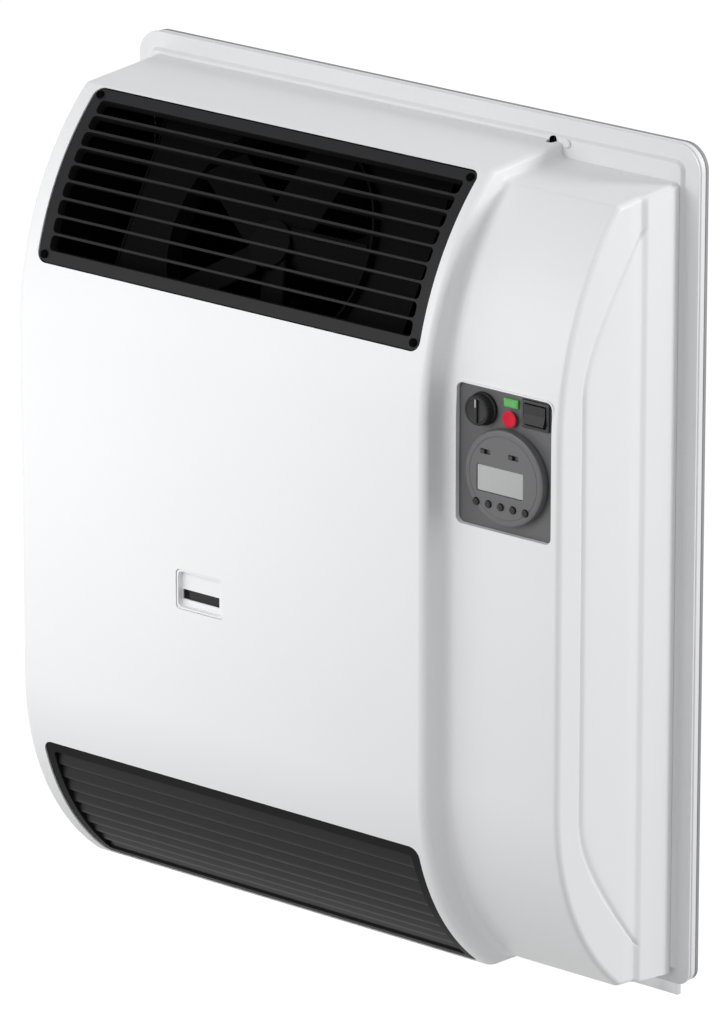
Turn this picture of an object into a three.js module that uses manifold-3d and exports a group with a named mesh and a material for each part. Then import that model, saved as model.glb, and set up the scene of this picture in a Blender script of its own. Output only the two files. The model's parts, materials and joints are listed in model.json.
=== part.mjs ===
// Wall mounted gas room heater: a pressed steel casing with an air intake at the top of its
// front and a warm air outlet at the bottom, a control panel on a set-back wing at the right,
// and inside it a sealed combustion chamber with its heat exchanger, fan and gas line.
//
// Millimetres. +X to the right as one faces the heater, +Y into the wall, +Z up.
// The origin is on the back of the wall plate, in the wall's plane, halfway across,
// level with the bottom edge of the frame that surrounds the casing.
// A "depth" is a distance forward from the wall, so its place along Y is minus that depth.

import * as THREE from 'three';
import { mergeVertices } from 'three/addons/utils/BufferGeometryUtils.js';
import Module from 'manifold-3d';

const wasm = await Module();
wasm.setup();

// ---------------------------------------------------------------- driving dimensions

// Clearances
const SEAT_GAP = 0.3;            // between pieces that sit on each other
const WINDOW_GAP = 0.5;          // round a piece that sits in a window of the casing
const RUNNING_GAP = 0.4;         // round a piece that turns or slides

// Frame against the wall
const FRAME_WIDTH = 582;
const FRAME_HEIGHT = 700;
const FRAME_TOP_RADIUS = 22;
const FRAME_BOTTOM_RADIUS = 12;
const GASKET_THICKNESS = 4;
const GASKET_WIDTH = 18;
const WALL_FRAME_THICKNESS = 7.4;
const WALL_FRAME_INSET = 0.8;    // its outer edge lies this far inside the trim frame's
const WALL_FRAME_GROOVE = 2;     // depth and height of the groove behind the trim frame
const WALL_FRAME_BAR = 26;
const TRIM_THICKNESS = 2;
const TRIM_STEP = 4;             // how far the inner plate stands out of the flange
const TRIM_STEP_INSET = 15.2;
const TRIM_BAR = 34;
const TRIM_TOP_BAR = 42;         // taller at the top, where the wing's lower roof shows it
const WALL_PLATE_THICKNESS = 4;
const WALL_PLATE_LIP = 14;       // how far the plate reaches below the frame
const WALL_PLATE_TOP_DROP = 24;
const KEYHOLE_INSET = 91;        // from the sides of the frame
const KEYHOLE_RADIUS = 5;
const KEYHOLE_SLOT = 5;
const KEYHOLE_SLOT_TALL = 12;
const KEYHOLE_DROP = 60;

// Casing
const CASING_INSET = 18.5;       // from the sides of the frame
const CASING_DEPTH = 188;        // front face of the main bulge
const STEP_DEPTH = 26;           // how far the wing's front is set back from it
const SHEET = 1.6;
const WING_WIDTH = 114.5;
const STEP_EDGE_RADIUS = 7;
const STEP_COVE_RADIUS = 7;
const STEP_DRAFT = 0.6;
const BULGE_EDGE_RADIUS = 8;
const WING_EDGE_RADIUS = 5;
const ROOF_DROP = 18;            // below the top of the frame, at the back
const ROOF_FALL = 5.8;           // from the back of the roof to its front
const WING_ROOF_DROP = 30.5;
const TOP_CURVE_RADIUS = 250;
const TOP_CURVE_END = 48.5;      // degrees
const WING_TOP_CURVE_END = 44.9;
const FLOOR_HEIGHT = 7.5;
const FLOOR_RISE = 3.1;          // from the back of the floor to its front
const BOTTOM_CURVE_RADIUS = 217;
const BOTTOM_CURVE_END = 53.5;
const WING_BOTTOM_CURVE_END = 51.2;
const SERVICE_OPENING_INSET = 37.5;
const SERVICE_OPENING_FRONT = 70;

// The right flank steps out twice: at a D-shaped outline, then at an upright line behind it
const PRESSING_RISE = 1;
const PRESSING_SETBACK = 28.5;   // from the wing's front
const PRESSING_TOP_MARGIN = 28;  // from the wing's roof
const PRESSING_BOTTOM_MARGIN = 38;
const PRESSING_TOP_RUN = 120;
const PRESSING_BOTTOM_RUN = 122;
const CREASE_RISE = 1.9;
const CREASE_FROM_WALL = 59;

// Grilles
const GRILLE_LEFT_MARGIN = 17.5;
const GRILLE_RIGHT_MARGIN = 11.5;
const GRILLE_CORNER_RADIUS = 9;
const GRILLE_SINK = 0.8;         // how far a grille lies below the casing's surface
const GRILLE_FRAME_THICKNESS = 9;
const INTAKE_FROM = 12.7;        // degrees along the top curve
const INTAKE_TO = 48;
const INTAKE_BORDER = 11;
const INTAKE_SLATS = 8;
const INTAKE_SLAT_PITCH = 15;
const INTAKE_SLAT_THICKNESS = 2.4;
const INTAKE_SLAT_SINK = 1.2;
const OUTLET_FROM = 14.1;        // degrees along the bottom curve
const OUTLET_TO = 52.9;
const OUTLET_BORDER = 9;
const OUTLET_BLADES = 8;
const OUTLET_BLADE_THICKNESS = 1.6;
const OUTLET_BLADE_CHORD = 19;
const OUTLET_BLADE_TILT = 18;    // degrees off the curve
const OUTLET_BLADE_SINK = 8.5;
const BLADE_ROOT = 2;            // how far slats and blades run into their frame
const GRILLE_SCREW_INSET = 7;
const SCREW_HEAD_RADIUS = 3.6;
const SCREW_HEAD_HEIGHT = 2;
const SCREW_SHANK_RADIUS = 1.7;
const SCREW_LENGTH = 9;
const CASING_SCREW_OFFSET = 5;   // to the right of the casing's step
const CASING_SCREW_DROP = 18.5;
const CORNER_RELIEF_OFFSET = 7;  // small open corner of the pressing, left of the step
const CORNER_RELIEF_RADIUS = 2.6;

// Sight window
const SIGHT_OFFSET = 195.5;      // from the casing's left flank
const SIGHT_HEIGHT = 299;
const SIGHT_WIDTH = 50;
const SIGHT_TALL = 34;
const SIGHT_CORNER_RADIUS = 4;
const SIGHT_SINK = 6;
const SIGHT_FLANGE = 4;
const SIGHT_WALL = 1.4;
const SLOT_OFFSET = -3;          // the slot lies left of the bowl's middle
const SLOT_DROP = 5.6;           // and a little below it
const SLOT_WIDTH = 39;
const SLOT_TALL = 8.5;
const SIGHT_TUBE_WALL = 1.5;
const SIGHT_GLASS_THICKNESS = 3;

// Control panel
const PANEL_WIDTH = 95.5;
const PANEL_TALL = 115.5;
const PANEL_INSET = 8.7;         // from the casing's right flank
const PANEL_DROP = 179;          // from the top of the frame
const PANEL_CORNER_RADIUS = 6;
const PANEL_RECESS = 4.5;
const PANEL_LIP_WALL = 1.4;
const PANEL_THICKNESS = 2.5;
const PANEL_MARGIN = 2.5;        // how far the plate reaches behind the casing's sheet
const KNOB_OFFSET = 24.8;        // from the panel's left edge, as all these offsets
const KNOB_DROP = 18.3;          // from the panel's top edge, as all these drops
const KNOB_RADIUS = 12.6;
const KNOB_SKIRT_RADIUS = 13.5;
const KNOB_SKIRT_HEIGHT = 3;
const KNOB_PROUD = 11;
const KNOB_CROWN = 1.5;
const KNOB_GRIP_WIDTH = 3;
const SHAFT_RADIUS = 3;
const SHAFT_INTO_KNOB = 7;
const THERMOSTAT_BODY_WIDTH = 34;
const THERMOSTAT_BODY_HEIGHT = 24;
const THERMOSTAT_BODY_DEPTH = 26;
const LAMP_OFFSET = 52.3;
const LAMP_DROP = 8.8;
const LAMP_WIDTH = 15;
const LAMP_TALL = 7.6;
const LAMP_PROUD = 2;
const LAMP_BEZEL = 1;
const LAMP_BODY_DEPTH = 14;
const RESET_OFFSET = 52.5;
const RESET_DROP = 21.4;
const RESET_RADIUS = 6.8;
const RESET_PROUD = 4;
const RESET_TRAVEL = 2.5;
const RESET_STEM_RADIUS = 3;
const RESET_STEM_LENGTH = 9;
const RESET_SWITCH_WIDTH = 11;
const RESET_SWITCH_FLOOR = 6;
const ROCKER_OFFSET = 76.8;
const ROCKER_DROP = 14.2;
const ROCKER_WIDTH = 28;
const ROCKER_TALL = 23;
const ROCKER_BEZEL = 2.2;
const ROCKER_BEZEL_PROUD = 2;
const ROCKER_WALL = 1;
const ROCKER_BODY_DEPTH = 18;
const ROCKER_TILT = 9;           // degrees each side of level
const ROCKER_CROWN = 3.6;        // thickness of the key in front of its pivot
const ROCKER_HEEL = 3.2;         // and behind it
const ROCKER_END_GAP = 1.2;      // room for the ends of the key as it tips
const ROCKER_WELL = 6;
const TIMER_OFFSET = 50.5;
const TIMER_DROP = 69.2;
const TIMER_RADIUS = 39;
const TIMER_PROUD = 8;
const TIMER_EDGE = 1.5;
const TIMER_BODY_RADIUS = 30;
const TIMER_BODY_DEPTH = 28;
const DISPLAY_SHIFT = -3.6;      // from the timer's middle, as the next ones
const DISPLAY_RISE = -3.3;
const DISPLAY_WIDTH = 45.6;
const DISPLAY_TALL = 21;
const DISPLAY_THICKNESS = 2;
const DISPLAY_SINK = 0.6;
const TIMER_BUTTONS = 5;
const TIMER_BUTTON_PITCH = 12.3;
const TIMER_BUTTON_SHIFT = -2.5;
const TIMER_BUTTON_RISE = -23.6;
const TIMER_BUTTON_RADIUS = 2.9;
const TIMER_BUTTON_PROUD = 1.6;
const TIMER_BUTTON_LENGTH = 4.5;
const TIMER_BUTTON_TRAVEL = 1;
const SLIDE_SPACING = 28;
const SLIDE_SHIFT = -4;
const SLIDE_RISE = 18.8;
const SLIDE_SLOT_WIDTH = 10;
const SLIDE_SLOT_TALL = 4;
const SLIDE_SLOT_DEPTH = 2.5;
const SLIDE_NUB_WIDTH = 4;
const SLIDE_NUB_PROUD = 1;

// Combustion side
const CHAMBER_LEFT_MARGIN = 82.5;
const CHAMBER_RIGHT_MARGIN = 88; // from the casing's step
const CHAMBER_DROP = 203;        // its floor below the sight window
const CHAMBER_RISE = 31;         // its roof above the sight window
const CHAMBER_FRONT_SETBACK = 42;
const CHAMBER_BACK = 52;
const CHAMBER_SHEET = 2;
const CHAMBER_WINDOW_MARGIN = 2;
const BURNER_MARGIN = 30;
const BURNER_DEPTH = 34;
const BURNER_TALL = 30;
const BURNER_FLANGE = 8;
const BURNER_SLOTS = 12;
const BURNER_SLOT_WIDTH = 3;
const BURNER_SLOT_DEPTH = 6;
const EXCHANGER_HEADROOM = 8;    // below the fan's bracket
const EXCHANGER_CORE = 22;
const EXCHANGER_FINS = 11;
const FIN_THICKNESS = 2;
const FLUE_DROP = 60;            // below the chamber's roof
const FLUE_RADIUS = 35;
const AIR_RADIUS = 58;
const TUBE_WALL = 1.2;
const FLUE_GASKET_THICKNESS = 3;
const FLUE_GASKET_WIDTH = 12;
const BRACKET_WIDTH = 24;
const BRACKET_SHEET = 2;
const BRACKET_BOTTOM_MARGIN = 14;
const BRACKET_TOP_MARGIN = 20;
const BRACKET_FRONT_MARGIN = 20;
const VALVE_OFFSET = 47;         // from the casing's step
const VALVE_BOTTOM = 70;
const VALVE_WIDTH = 46;
const VALVE_TALL = 52;
const VALVE_BACK = 40;
const VALVE_DEPTH = 44;
const VALVE_COIL_RADIUS = 13;
const VALVE_COIL_TALL = 30;
const VALVE_COIL_SHIFT = -9;
const VALVE_CAP_RADIUS = 7;
const VALVE_CAP_TALL = 14;
const VALVE_CAP_SHIFT = 13;
const VALVE_CAP_SETFORWARD = 8;
const VALVE_FOOT_WIDTH = 16;
const VALVE_FOOT_MARGIN = 12;
const VALVE_PORT_HEIGHT = 20;
const GAS_PIPE_RADIUS = 6;
const MANIFOLD_DROP = 9;         // below the chamber's floor
const MANIFOLD_LEAD = 30;        // its straight run into the burner
const INLET_PIPE_RADIUS = 8;
const INLET_WALL = 2.5;
const INLET_NUT_RADIUS = 14;
const INLET_NUT_TALL = 12;
const INLET_LOCKNUT_TALL = 6;
const INLET_BOTTOM = 6;
const INLET_BLIND = 8;
const INLET_SETBACK = 12;        // how far behind the valve's middle the inlet comes up
const BOTTOM_PANEL_SHEET = 2;
const BOTTOM_PANEL_HEIGHT = 16;
const BOTTOM_PANEL_RIM = 4;
const GLAND_OFFSET = 12;         // from the casing's step
const GLAND_RADIUS = 9;
const GLAND_NECK_RADIUS = 6.3;
const GLAND_NUT_TALL = 8;
const GLAND_NECK_TALL = 12;
const GLAND_BORE = 4;
const GLAND_DEPTH = 44;
const PROBE_RADIUS = 3.5;
const PROBE_LENGTH = 60;
const PROBE_RISE = 84;           // its top above the panel
const PROBE_OFFSET = 6;
const PROBE_SETBACK = 6;
const CAPILLARY_RADIUS = 1.2;
const CAPILLARY_BEND = 12;
const ELECTRODE_RADIUS = 1.5;
const CERAMIC_RADIUS = 4.5;
const CERAMIC_LENGTH = 26;
const CERAMIC_COLLAR = 3;
const ELECTRODE_TERMINAL = 6;
const ELECTRODE_RISE = 54;       // above the chamber's floor
const IGNITION_MARGIN = 50;      // from the chamber's right side
const SENSOR_MARGIN = 25;
const IGNITION_REACH = 18;
const SENSOR_REACH = 26;

// Fan
const FAN_SHIFT = -15.75;        // from the middle of the intake grille
const FAN_SETBACK = 88;
const FAN_DROP = 128;
const FAN_TILT = 30;             // degrees, the fan faces forward and up
const FAN_RADIUS = 97;
const FAN_HUB_RADIUS = 20;
const FAN_HUB_LENGTH = 18;
const FAN_HUB_FLOOR = 4;
const FAN_BLADES = 5;
const FAN_BLADE_PITCH = 28;      // degrees
const FAN_BLADE_THICKNESS = 1.8;
const FAN_BLADE_WIDTH = 38;
const FAN_BLADE_ROOT = 3;
const FAN_RING_WALL = 2;
const FAN_RING_LENGTH = 20;
const FAN_TIP_GAP = 3;
const SHROUD_SIDE_MARGIN = 48;   // beyond the ring, at each side
const SHROUD_TOP_MARGIN = 3;     // beyond the ring, above and below
const SHROUD_SHEET = 1.6;
const FAN_MOUNT_FOOT = 14;
const FAN_MOUNT_TALL = 150;
const FAN_MOUNT_RISE = 3;        // its middle above the fan's
const FAN_MOUNT_OVERLAP = 6.4;
const MOTOR_RADIUS = 28;
const MOTOR_LENGTH = 34;
const MOTOR_GAP = 4;
const MOTOR_SHAFT_RADIUS = 3;
const MOTOR_BORE_DEPTH = 10;
const SPIDER_ARMS = 3;
const SPIDER_ARM_WIDTH = 10;
const SPIDER_SHEET = 3;

// Electronics
const BOX_WIDTH = 76;
const BOX_INSET = 20.5;          // from the casing's right flank
const BOX_BOTTOM = 215;
const BOX_TALL = 170;
const BOX_DEPTH = 50;
const BOX_WALL = 1.6;
const BOARD_THICKNESS = 1.6;
const BOARD_MARGIN = 6;
const BOARD_STANDOFF = 8;
const STANDOFF_RADIUS = 3;
const STANDOFF_INSET = 8;
const RELAY_WIDTH = 20;
const RELAY_TALL = 28;
const RELAY_DEPTH = 16;
const TRANSFORMER_WIDTH = 26;
const TRANSFORMER_TALL = 34;
const TRANSFORMER_DEPTH = 26;
const COMPONENT_MARGIN = 6;
const TERMINAL_WAYS = 5;
const TERMINAL_PITCH = 9;
const TERMINAL_TALL = 16;
const TERMINAL_DEPTH = 12;
const TERMINAL_MARGIN = 12;
const TERMINAL_HOLE_RADIUS = 2;
const TERMINAL_HOLE_DEPTH = 6;

// Roundness of the facets
const ARC_STEPS = 12;
const EDGE_STEPS = 3;
const CORNER_STEPS = 4;
const ROUND_SIDES = 24;
const SMALL_SIDES = 12;

// ---------------------------------------------------------------- worked-out places

const sine = (degrees) => Math.sin(THREE.MathUtils.degToRad(degrees));
const cosine = (degrees) => Math.cos(THREE.MathUtils.degToRad(degrees));

const HALF_FRAME = FRAME_WIDTH / 2;
const HALF_CASING = HALF_FRAME - CASING_INSET;
const WALL_FRAME_BACK = -(GASKET_THICKNESS + SEAT_GAP);
const WALL_FRAME_FRONT = WALL_FRAME_BACK - WALL_FRAME_THICKNESS;
const TRIM_BACK = WALL_FRAME_FRONT - SEAT_GAP;
const FLANGE_FRONT = TRIM_BACK - TRIM_THICKNESS;
const TRIM_FRONT = FLANGE_FRONT - TRIM_STEP;
const CASING_BACK = TRIM_FRONT - SEAT_GAP;
const PLATE_SEAT = -(WALL_PLATE_THICKNESS + SEAT_GAP);

const WING_DEPTH = CASING_DEPTH - STEP_DEPTH;
const WING_FACE = -WING_DEPTH;
const STEP_X = HALF_CASING - WING_WIDTH;
const ROOF_HEIGHT = FRAME_HEIGHT - ROOF_DROP;
const WING_ROOF_HEIGHT = FRAME_HEIGHT - WING_ROOF_DROP;
const TOP_CURVE_START = ROOF_HEIGHT - ROOF_FALL - TOP_CURVE_RADIUS * sine(TOP_CURVE_END);
const BOTTOM_CURVE_START = FLOOR_HEIGHT + FLOOR_RISE + BOTTOM_CURVE_RADIUS * sine(BOTTOM_CURVE_END);
const SERVICE_HALF_WIDTH = HALF_CASING - SERVICE_OPENING_INSET;
const GRILLE_LEFT = -HALF_CASING + GRILLE_LEFT_MARGIN;
const GRILLE_RIGHT = STEP_X - GRILLE_RIGHT_MARGIN;
const CASING_SCREW_X = STEP_X + CASING_SCREW_OFFSET;
const CASING_SCREW_HEIGHT = FRAME_HEIGHT - CASING_SCREW_DROP;
const CORNER_RELIEF_X = STEP_X - CORNER_RELIEF_OFFSET;

const SIGHT_X = -HALF_CASING + SIGHT_OFFSET;
const SLOT_X = SIGHT_X + SLOT_OFFSET;
const SLOT_HEIGHT = SIGHT_HEIGHT - SLOT_DROP;

const PANEL_RIGHT = HALF_CASING - PANEL_INSET;
const PANEL_LEFT = PANEL_RIGHT - PANEL_WIDTH;
const PANEL_TOP = FRAME_HEIGHT - PANEL_DROP;
const PANEL_BOTTOM = PANEL_TOP - PANEL_TALL;
const PLATE_FACE = WING_FACE + PANEL_RECESS + SEAT_GAP;
const PLATE_BACK = PLATE_FACE + PANEL_THICKNESS;
const BEHIND_PLATE = PLATE_BACK + SEAT_GAP;
const KNOB_X = PANEL_LEFT + KNOB_OFFSET;
const KNOB_HEIGHT = PANEL_TOP - KNOB_DROP;
const LAMP_X = PANEL_LEFT + LAMP_OFFSET;
const LAMP_HEIGHT = PANEL_TOP - LAMP_DROP;
const RESET_X = PANEL_LEFT + RESET_OFFSET;
const RESET_HEIGHT = PANEL_TOP - RESET_DROP;
const ROCKER_X = PANEL_LEFT + ROCKER_OFFSET;
const ROCKER_HEIGHT = PANEL_TOP - ROCKER_DROP;
const TIMER_X = PANEL_LEFT + TIMER_OFFSET;
const TIMER_HEIGHT = PANEL_TOP - TIMER_DROP;
const TIMER_FACE = PLATE_FACE - TIMER_PROUD;
const DISPLAY_X = TIMER_X + DISPLAY_SHIFT;
const DISPLAY_HEIGHT = TIMER_HEIGHT + DISPLAY_RISE;
const TIMER_BUTTON_HEIGHT = TIMER_HEIGHT + TIMER_BUTTON_RISE;
const SLIDE_X = TIMER_X + SLIDE_SHIFT;
const SLIDE_HEIGHT = TIMER_HEIGHT + SLIDE_RISE;

const CHAMBER_LEFT = -HALF_CASING + CHAMBER_LEFT_MARGIN;
const CHAMBER_RIGHT = STEP_X - CHAMBER_RIGHT_MARGIN;
const CHAMBER_BOTTOM = SIGHT_HEIGHT - CHAMBER_DROP;
const CHAMBER_TOP = SIGHT_HEIGHT + CHAMBER_RISE;
const CHAMBER_FRONT = CASING_DEPTH - CHAMBER_FRONT_SETBACK;
const BURNER_X = (CHAMBER_LEFT + CHAMBER_RIGHT) / 2;
const BURNER_Y = -(CHAMBER_FRONT + CHAMBER_BACK) / 2;
const BURNER_WIDTH = CHAMBER_RIGHT - CHAMBER_LEFT - 2 * BURNER_MARGIN;
const FLUE_X = BURNER_X;
const FLUE_HEIGHT = CHAMBER_TOP - FLUE_DROP;
const FLUE_FRONT = -(CHAMBER_BACK - SEAT_GAP);
const ELECTRODE_HEIGHT = CHAMBER_BOTTOM + ELECTRODE_RISE;
const VALVE_X = STEP_X + VALVE_OFFSET;
const VALVE_Y = -(VALVE_BACK + VALVE_DEPTH / 2);
const INLET_Y = VALVE_Y + INLET_SETBACK;
const GLAND_X = STEP_X + GLAND_OFFSET;

const FAN_X = (GRILLE_LEFT + GRILLE_RIGHT) / 2 + FAN_SHIFT;
const FAN_DEPTH = CASING_DEPTH - FAN_SETBACK;
const FAN_HEIGHT = FRAME_HEIGHT - FAN_DROP;
const FAN_RING_INSIDE = FAN_RADIUS + FAN_TIP_GAP;
const FAN_RING_OUTSIDE = FAN_RING_INSIDE + FAN_RING_WALL;
const SHROUD_WIDTH = 2 * (FAN_RING_OUTSIDE + SHROUD_SIDE_MARGIN);
const SHROUD_TALL = 2 * (FAN_RING_OUTSIDE + SHROUD_TOP_MARGIN);
const MOTOR_FRONT = -FAN_HUB_LENGTH / 2 - MOTOR_GAP;
const MOTOR_BACK = MOTOR_FRONT - MOTOR_LENGTH;
const SPIDER_FRONT = MOTOR_BACK - SEAT_GAP;
const SPIDER_BACK = SPIDER_FRONT - SPIDER_SHEET;
const SPIDER_REACH = FAN_RING_OUTSIDE + SEAT_GAP;
const EXCHANGER_TOP = FAN_HEIGHT - (SPIDER_REACH + SPIDER_SHEET) * cosine(FAN_TILT)
  + SPIDER_BACK * sine(FAN_TILT) - EXCHANGER_HEADROOM;

const BOX_RIGHT = HALF_CASING - BOX_INSET;
const BOX_LEFT = BOX_RIGHT - BOX_WIDTH;
const BOX_TOP = BOX_BOTTOM + BOX_TALL;

const BULGE = {
  depth: CASING_DEPTH, topEnd: TOP_CURVE_END, bottomEnd: BOTTOM_CURVE_END, roof: ROOF_HEIGHT,
};
const WING = {
  depth: WING_DEPTH, topEnd: WING_TOP_CURVE_END, bottomEnd: WING_BOTTOM_CURVE_END,
  roof: WING_ROOF_HEIGHT,
};
const TOP_CURVE = {
  y: -CASING_DEPTH + TOP_CURVE_RADIUS, z: TOP_CURVE_START, radius: TOP_CURVE_RADIUS, sign: 1,
};
const BOTTOM_CURVE = {
  y: -CASING_DEPTH + BOTTOM_CURVE_RADIUS, z: BOTTOM_CURVE_START, radius: BOTTOM_CURVE_RADIUS,
  sign: -1,
};
const INTAKE = { curve: TOP_CURVE, from: INTAKE_FROM, to: INTAKE_TO, border: INTAKE_BORDER };
const OUTLET = { curve: BOTTOM_CURVE, from: OUTLET_FROM, to: OUTLET_TO, border: OUTLET_BORDER };

// ---------------------------------------------------------------- materials

const paint = (color, roughness = 0.4, metalness = 0) =>
  new THREE.MeshStandardMaterial({ color, roughness, metalness });
const WHITE_ENAMEL = paint(0xf2f3f5, 0.35);
const FRAME_ENAMEL = paint(0xe6e8ea, 0.4);
const BLACK_PLASTIC = paint(0x151515, 0.5);
const GRILLE_PLASTIC = paint(0x242424, 0.55);
const PANEL_PLASTIC = paint(0x6a6a6a, 0.6);
const TIMER_PLASTIC = paint(0x767676, 0.6);
const GREY_FOAM = paint(0x9c9da0, 0.9);
const BLACK_STEEL = paint(0x0c0c0c, 0.7);
const ZINC = paint(0xb4b7ba, 0.4, 0.9);
const STEEL = paint(0x8d9093, 0.5, 0.8);
const BRASS = paint(0xb89a55, 0.35, 0.9);
const CERAMIC = paint(0xf4efe4, 0.3);
const GREEN_LENS = paint(0x3fae4a, 0.2);
const RED_CAP = paint(0xe0203a, 0.3);
const DISPLAY_GLASS = paint(0xb2b5b2, 0.2);
const DARK_GLASS = paint(0x101214, 0.1);
const BOARD_GREEN = paint(0x1f6b3a, 0.6);

// ---------------------------------------------------------------- shapes and solids

const radians = THREE.MathUtils.degToRad;
const point = (x, y) => new THREE.Vector2(x, y);

// A closed geometry as a solid that can be joined and cut.
function toSolid(geometry) {
  const bare = geometry.index ? geometry.toNonIndexed() : geometry.clone();
  bare.deleteAttribute('normal');
  bare.deleteAttribute('uv');
  const merged = mergeVertices(bare, 1e-4);
  return new wasm.Manifold(new wasm.Mesh({
    numProp: 3,
    vertProperties: new Float32Array(merged.attributes.position.array),
    triVerts: new Uint32Array(merged.index.array),
  }));
}

// A solid back as a geometry with flat faces.
function toGeometry(solid) {
  const mesh = solid.getMesh();
  const corners = new Float32Array(mesh.triVerts.length * 3);
  mesh.triVerts.forEach((vertex, i) => {
    const start = vertex * mesh.numProp;
    corners.set(mesh.vertProperties.subarray(start, start + 3), i * 3);
  });
  const geometry = new THREE.BufferGeometry();
  geometry.setAttribute('position', new THREE.BufferAttribute(corners, 3));
  geometry.computeVertexNormals();
  return geometry;
}

const join = (solids) => solids.reduce((whole, next) => whole.add(next));
const cut = (solid, tools) => tools.reduce((left, tool) => left.subtract(tool), solid);

const box = (x0, x1, y0, y1, z0, z1) => toSolid(
  new THREE.BoxGeometry(x1 - x0, y1 - y0, z1 - z0)
    .translate((x0 + x1) / 2, (y0 + y1) / 2, (z0 + z1) / 2),
);

// A rectangle with round corners; its lower corners may have a radius of their own.
function roundedRectangle(x0, x1, y0, y1, radius, lowerRadius = radius) {
  const quarter = Math.PI / 2;
  return new THREE.Shape()
    .absarc(x1 - lowerRadius, y0 + lowerRadius, lowerRadius, -quarter, 0)
    .absarc(x1 - radius, y1 - radius, radius, 0, quarter)
    .absarc(x0 + radius, y1 - radius, radius, quarter, 2 * quarter)
    .absarc(x0 + lowerRadius, y0 + lowerRadius, lowerRadius, 2 * quarter, 3 * quarter);
}

// A shape drawn in the XZ plane, from one Y to another.
const plateY = (shape, y0, y1, curveSegments = CORNER_STEPS) => toSolid(
  new THREE.ExtrudeGeometry(shape, { depth: y1 - y0, bevelEnabled: false, curveSegments })
    .rotateX(Math.PI / 2).translate(0, y1, 0),
);

// A shape drawn in the YZ plane, from one X to another.
const ACROSS = new THREE.Matrix4().makeBasis(
  new THREE.Vector3(0, 1, 0), new THREE.Vector3(0, 0, 1), new THREE.Vector3(1, 0, 0),
);
const plateX = (shape, x0, x1, curveSegments = CORNER_STEPS) => toSolid(
  new THREE.ExtrudeGeometry(shape, { depth: x1 - x0, bevelEnabled: false, curveSegments })
    .applyMatrix4(ACROSS).translate(x0, 0, 0),
);

// Round bars along each axis, from one end to the other.
const barY = (x, z, radius, y0, y1, sides = ROUND_SIDES) => toSolid(
  new THREE.CylinderGeometry(radius, radius, y1 - y0, sides).translate(x, (y0 + y1) / 2, z),
);
const barZ = (x, y, radius, z0, z1, sides = ROUND_SIDES) => toSolid(
  new THREE.CylinderGeometry(radius, radius, z1 - z0, sides)
    .rotateX(Math.PI / 2).translate(x, y, (z0 + z1) / 2),
);
const barX = (y, z, radius, x0, x1, sides = ROUND_SIDES) => toSolid(
  new THREE.CylinderGeometry(radius, radius, x1 - x0, sides)
    .rotateZ(Math.PI / 2).translate((x0 + x1) / 2, y, z),
);

// A turned piece: pairs of radius and place along the axis, which points forward (-Y).
function turned(profile, x, z, sides = ROUND_SIDES) {
  const outline = profile.map(([radius, along]) => point(radius, along));
  return toSolid(new THREE.LatheGeometry(outline, sides)
    .rotateX(Math.PI).translate(x, 0, z));
}

// A round pipe or rod along a list of points.
function pipe(points, radius, steps, sides = 10) {
  const path = new THREE.CatmullRomCurve3(
    points.map(([x, y, z]) => new THREE.Vector3(x, y, z)), false, 'centripetal',
  );
  const ring = Array.from({ length: sides }, (_, i) => {
    const turn = (i / sides) * 2 * Math.PI;
    return point(radius * Math.cos(turn), radius * Math.sin(turn));
  });
  return toSolid(new THREE.ExtrudeGeometry(new THREE.Shape(ring), { extrudePath: path, steps }));
}

// A solid through YZ sections at rising X; every section has as many points, anticlockwise.
function loft(sections) {
  const count = sections[0].points.length;
  const corners = sections.flatMap(({ x, points }) => points.map((p) => [x, p.x, p.y]));
  const faces = [];
  for (let i = 0; i + 1 < sections.length; i += 1) {
    for (let j = 0; j < count; j += 1) {
      const here = i * count + j;
      const next = i * count + ((j + 1) % count);
      faces.push([here, next, next + count], [here, next + count, here + count]);
    }
  }
  const last = (sections.length - 1) * count;
  for (const [a, b, c] of THREE.ShapeUtils.triangulateShape(sections[0].points, [])) {
    faces.push([a, c, b]);
    faces.push([last + a, last + b, last + c]);
  }
  const geometry = new THREE.BufferGeometry();
  geometry.setAttribute('position', new THREE.Float32BufferAttribute(corners.flat(), 3));
  geometry.setIndex(faces.flat());
  return toSolid(geometry);
}

// ---------------------------------------------------------------- casing outline

const mix = THREE.MathUtils.lerp;
const between = (a, b, share) => ({
  depth: mix(a.depth, b.depth, share),
  topEnd: mix(a.topEnd, b.topEnd, share),
  bottomEnd: mix(a.bottomEnd, b.bottomEnd, share),
  roof: mix(a.roof, b.roof, share),
});

// A place on one of the casing's two curves, at an angle and sunk below the surface.
const onCurve = (curve, degrees, sink) => point(
  curve.y - (curve.radius - sink) * cosine(degrees),
  curve.z + curve.sign * (curve.radius - sink) * sine(degrees),
);

// The casing's section: roof, top curve, straight front, bottom curve and floor.
function casingSection(face, inset, back) {
  const top = { ...TOP_CURVE, y: -face.depth + TOP_CURVE_RADIUS };
  const bottom = { ...BOTTOM_CURVE, y: -face.depth + BOTTOM_CURVE_RADIUS };
  const points = [point(back, face.roof - inset)];
  for (let i = ARC_STEPS; i >= 0; i -= 1) {
    points.push(onCurve(top, (face.topEnd * i) / ARC_STEPS, inset));
  }
  for (let i = 0; i <= ARC_STEPS; i += 1) {
    points.push(onCurve(bottom, (face.bottomEnd * i) / ARC_STEPS, inset));
  }
  points.push(point(back, FLOOR_HEIGHT + inset));
  return points;
}

// Quarter turns in EDGE_STEPS steps, as sine and cosine.
const QUARTER = Array.from({ length: EDGE_STEPS + 1 }, (_, i) => (
  { across: sine((90 * i) / EDGE_STEPS), along: cosine((90 * i) / EDGE_STEPS) }
));

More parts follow.
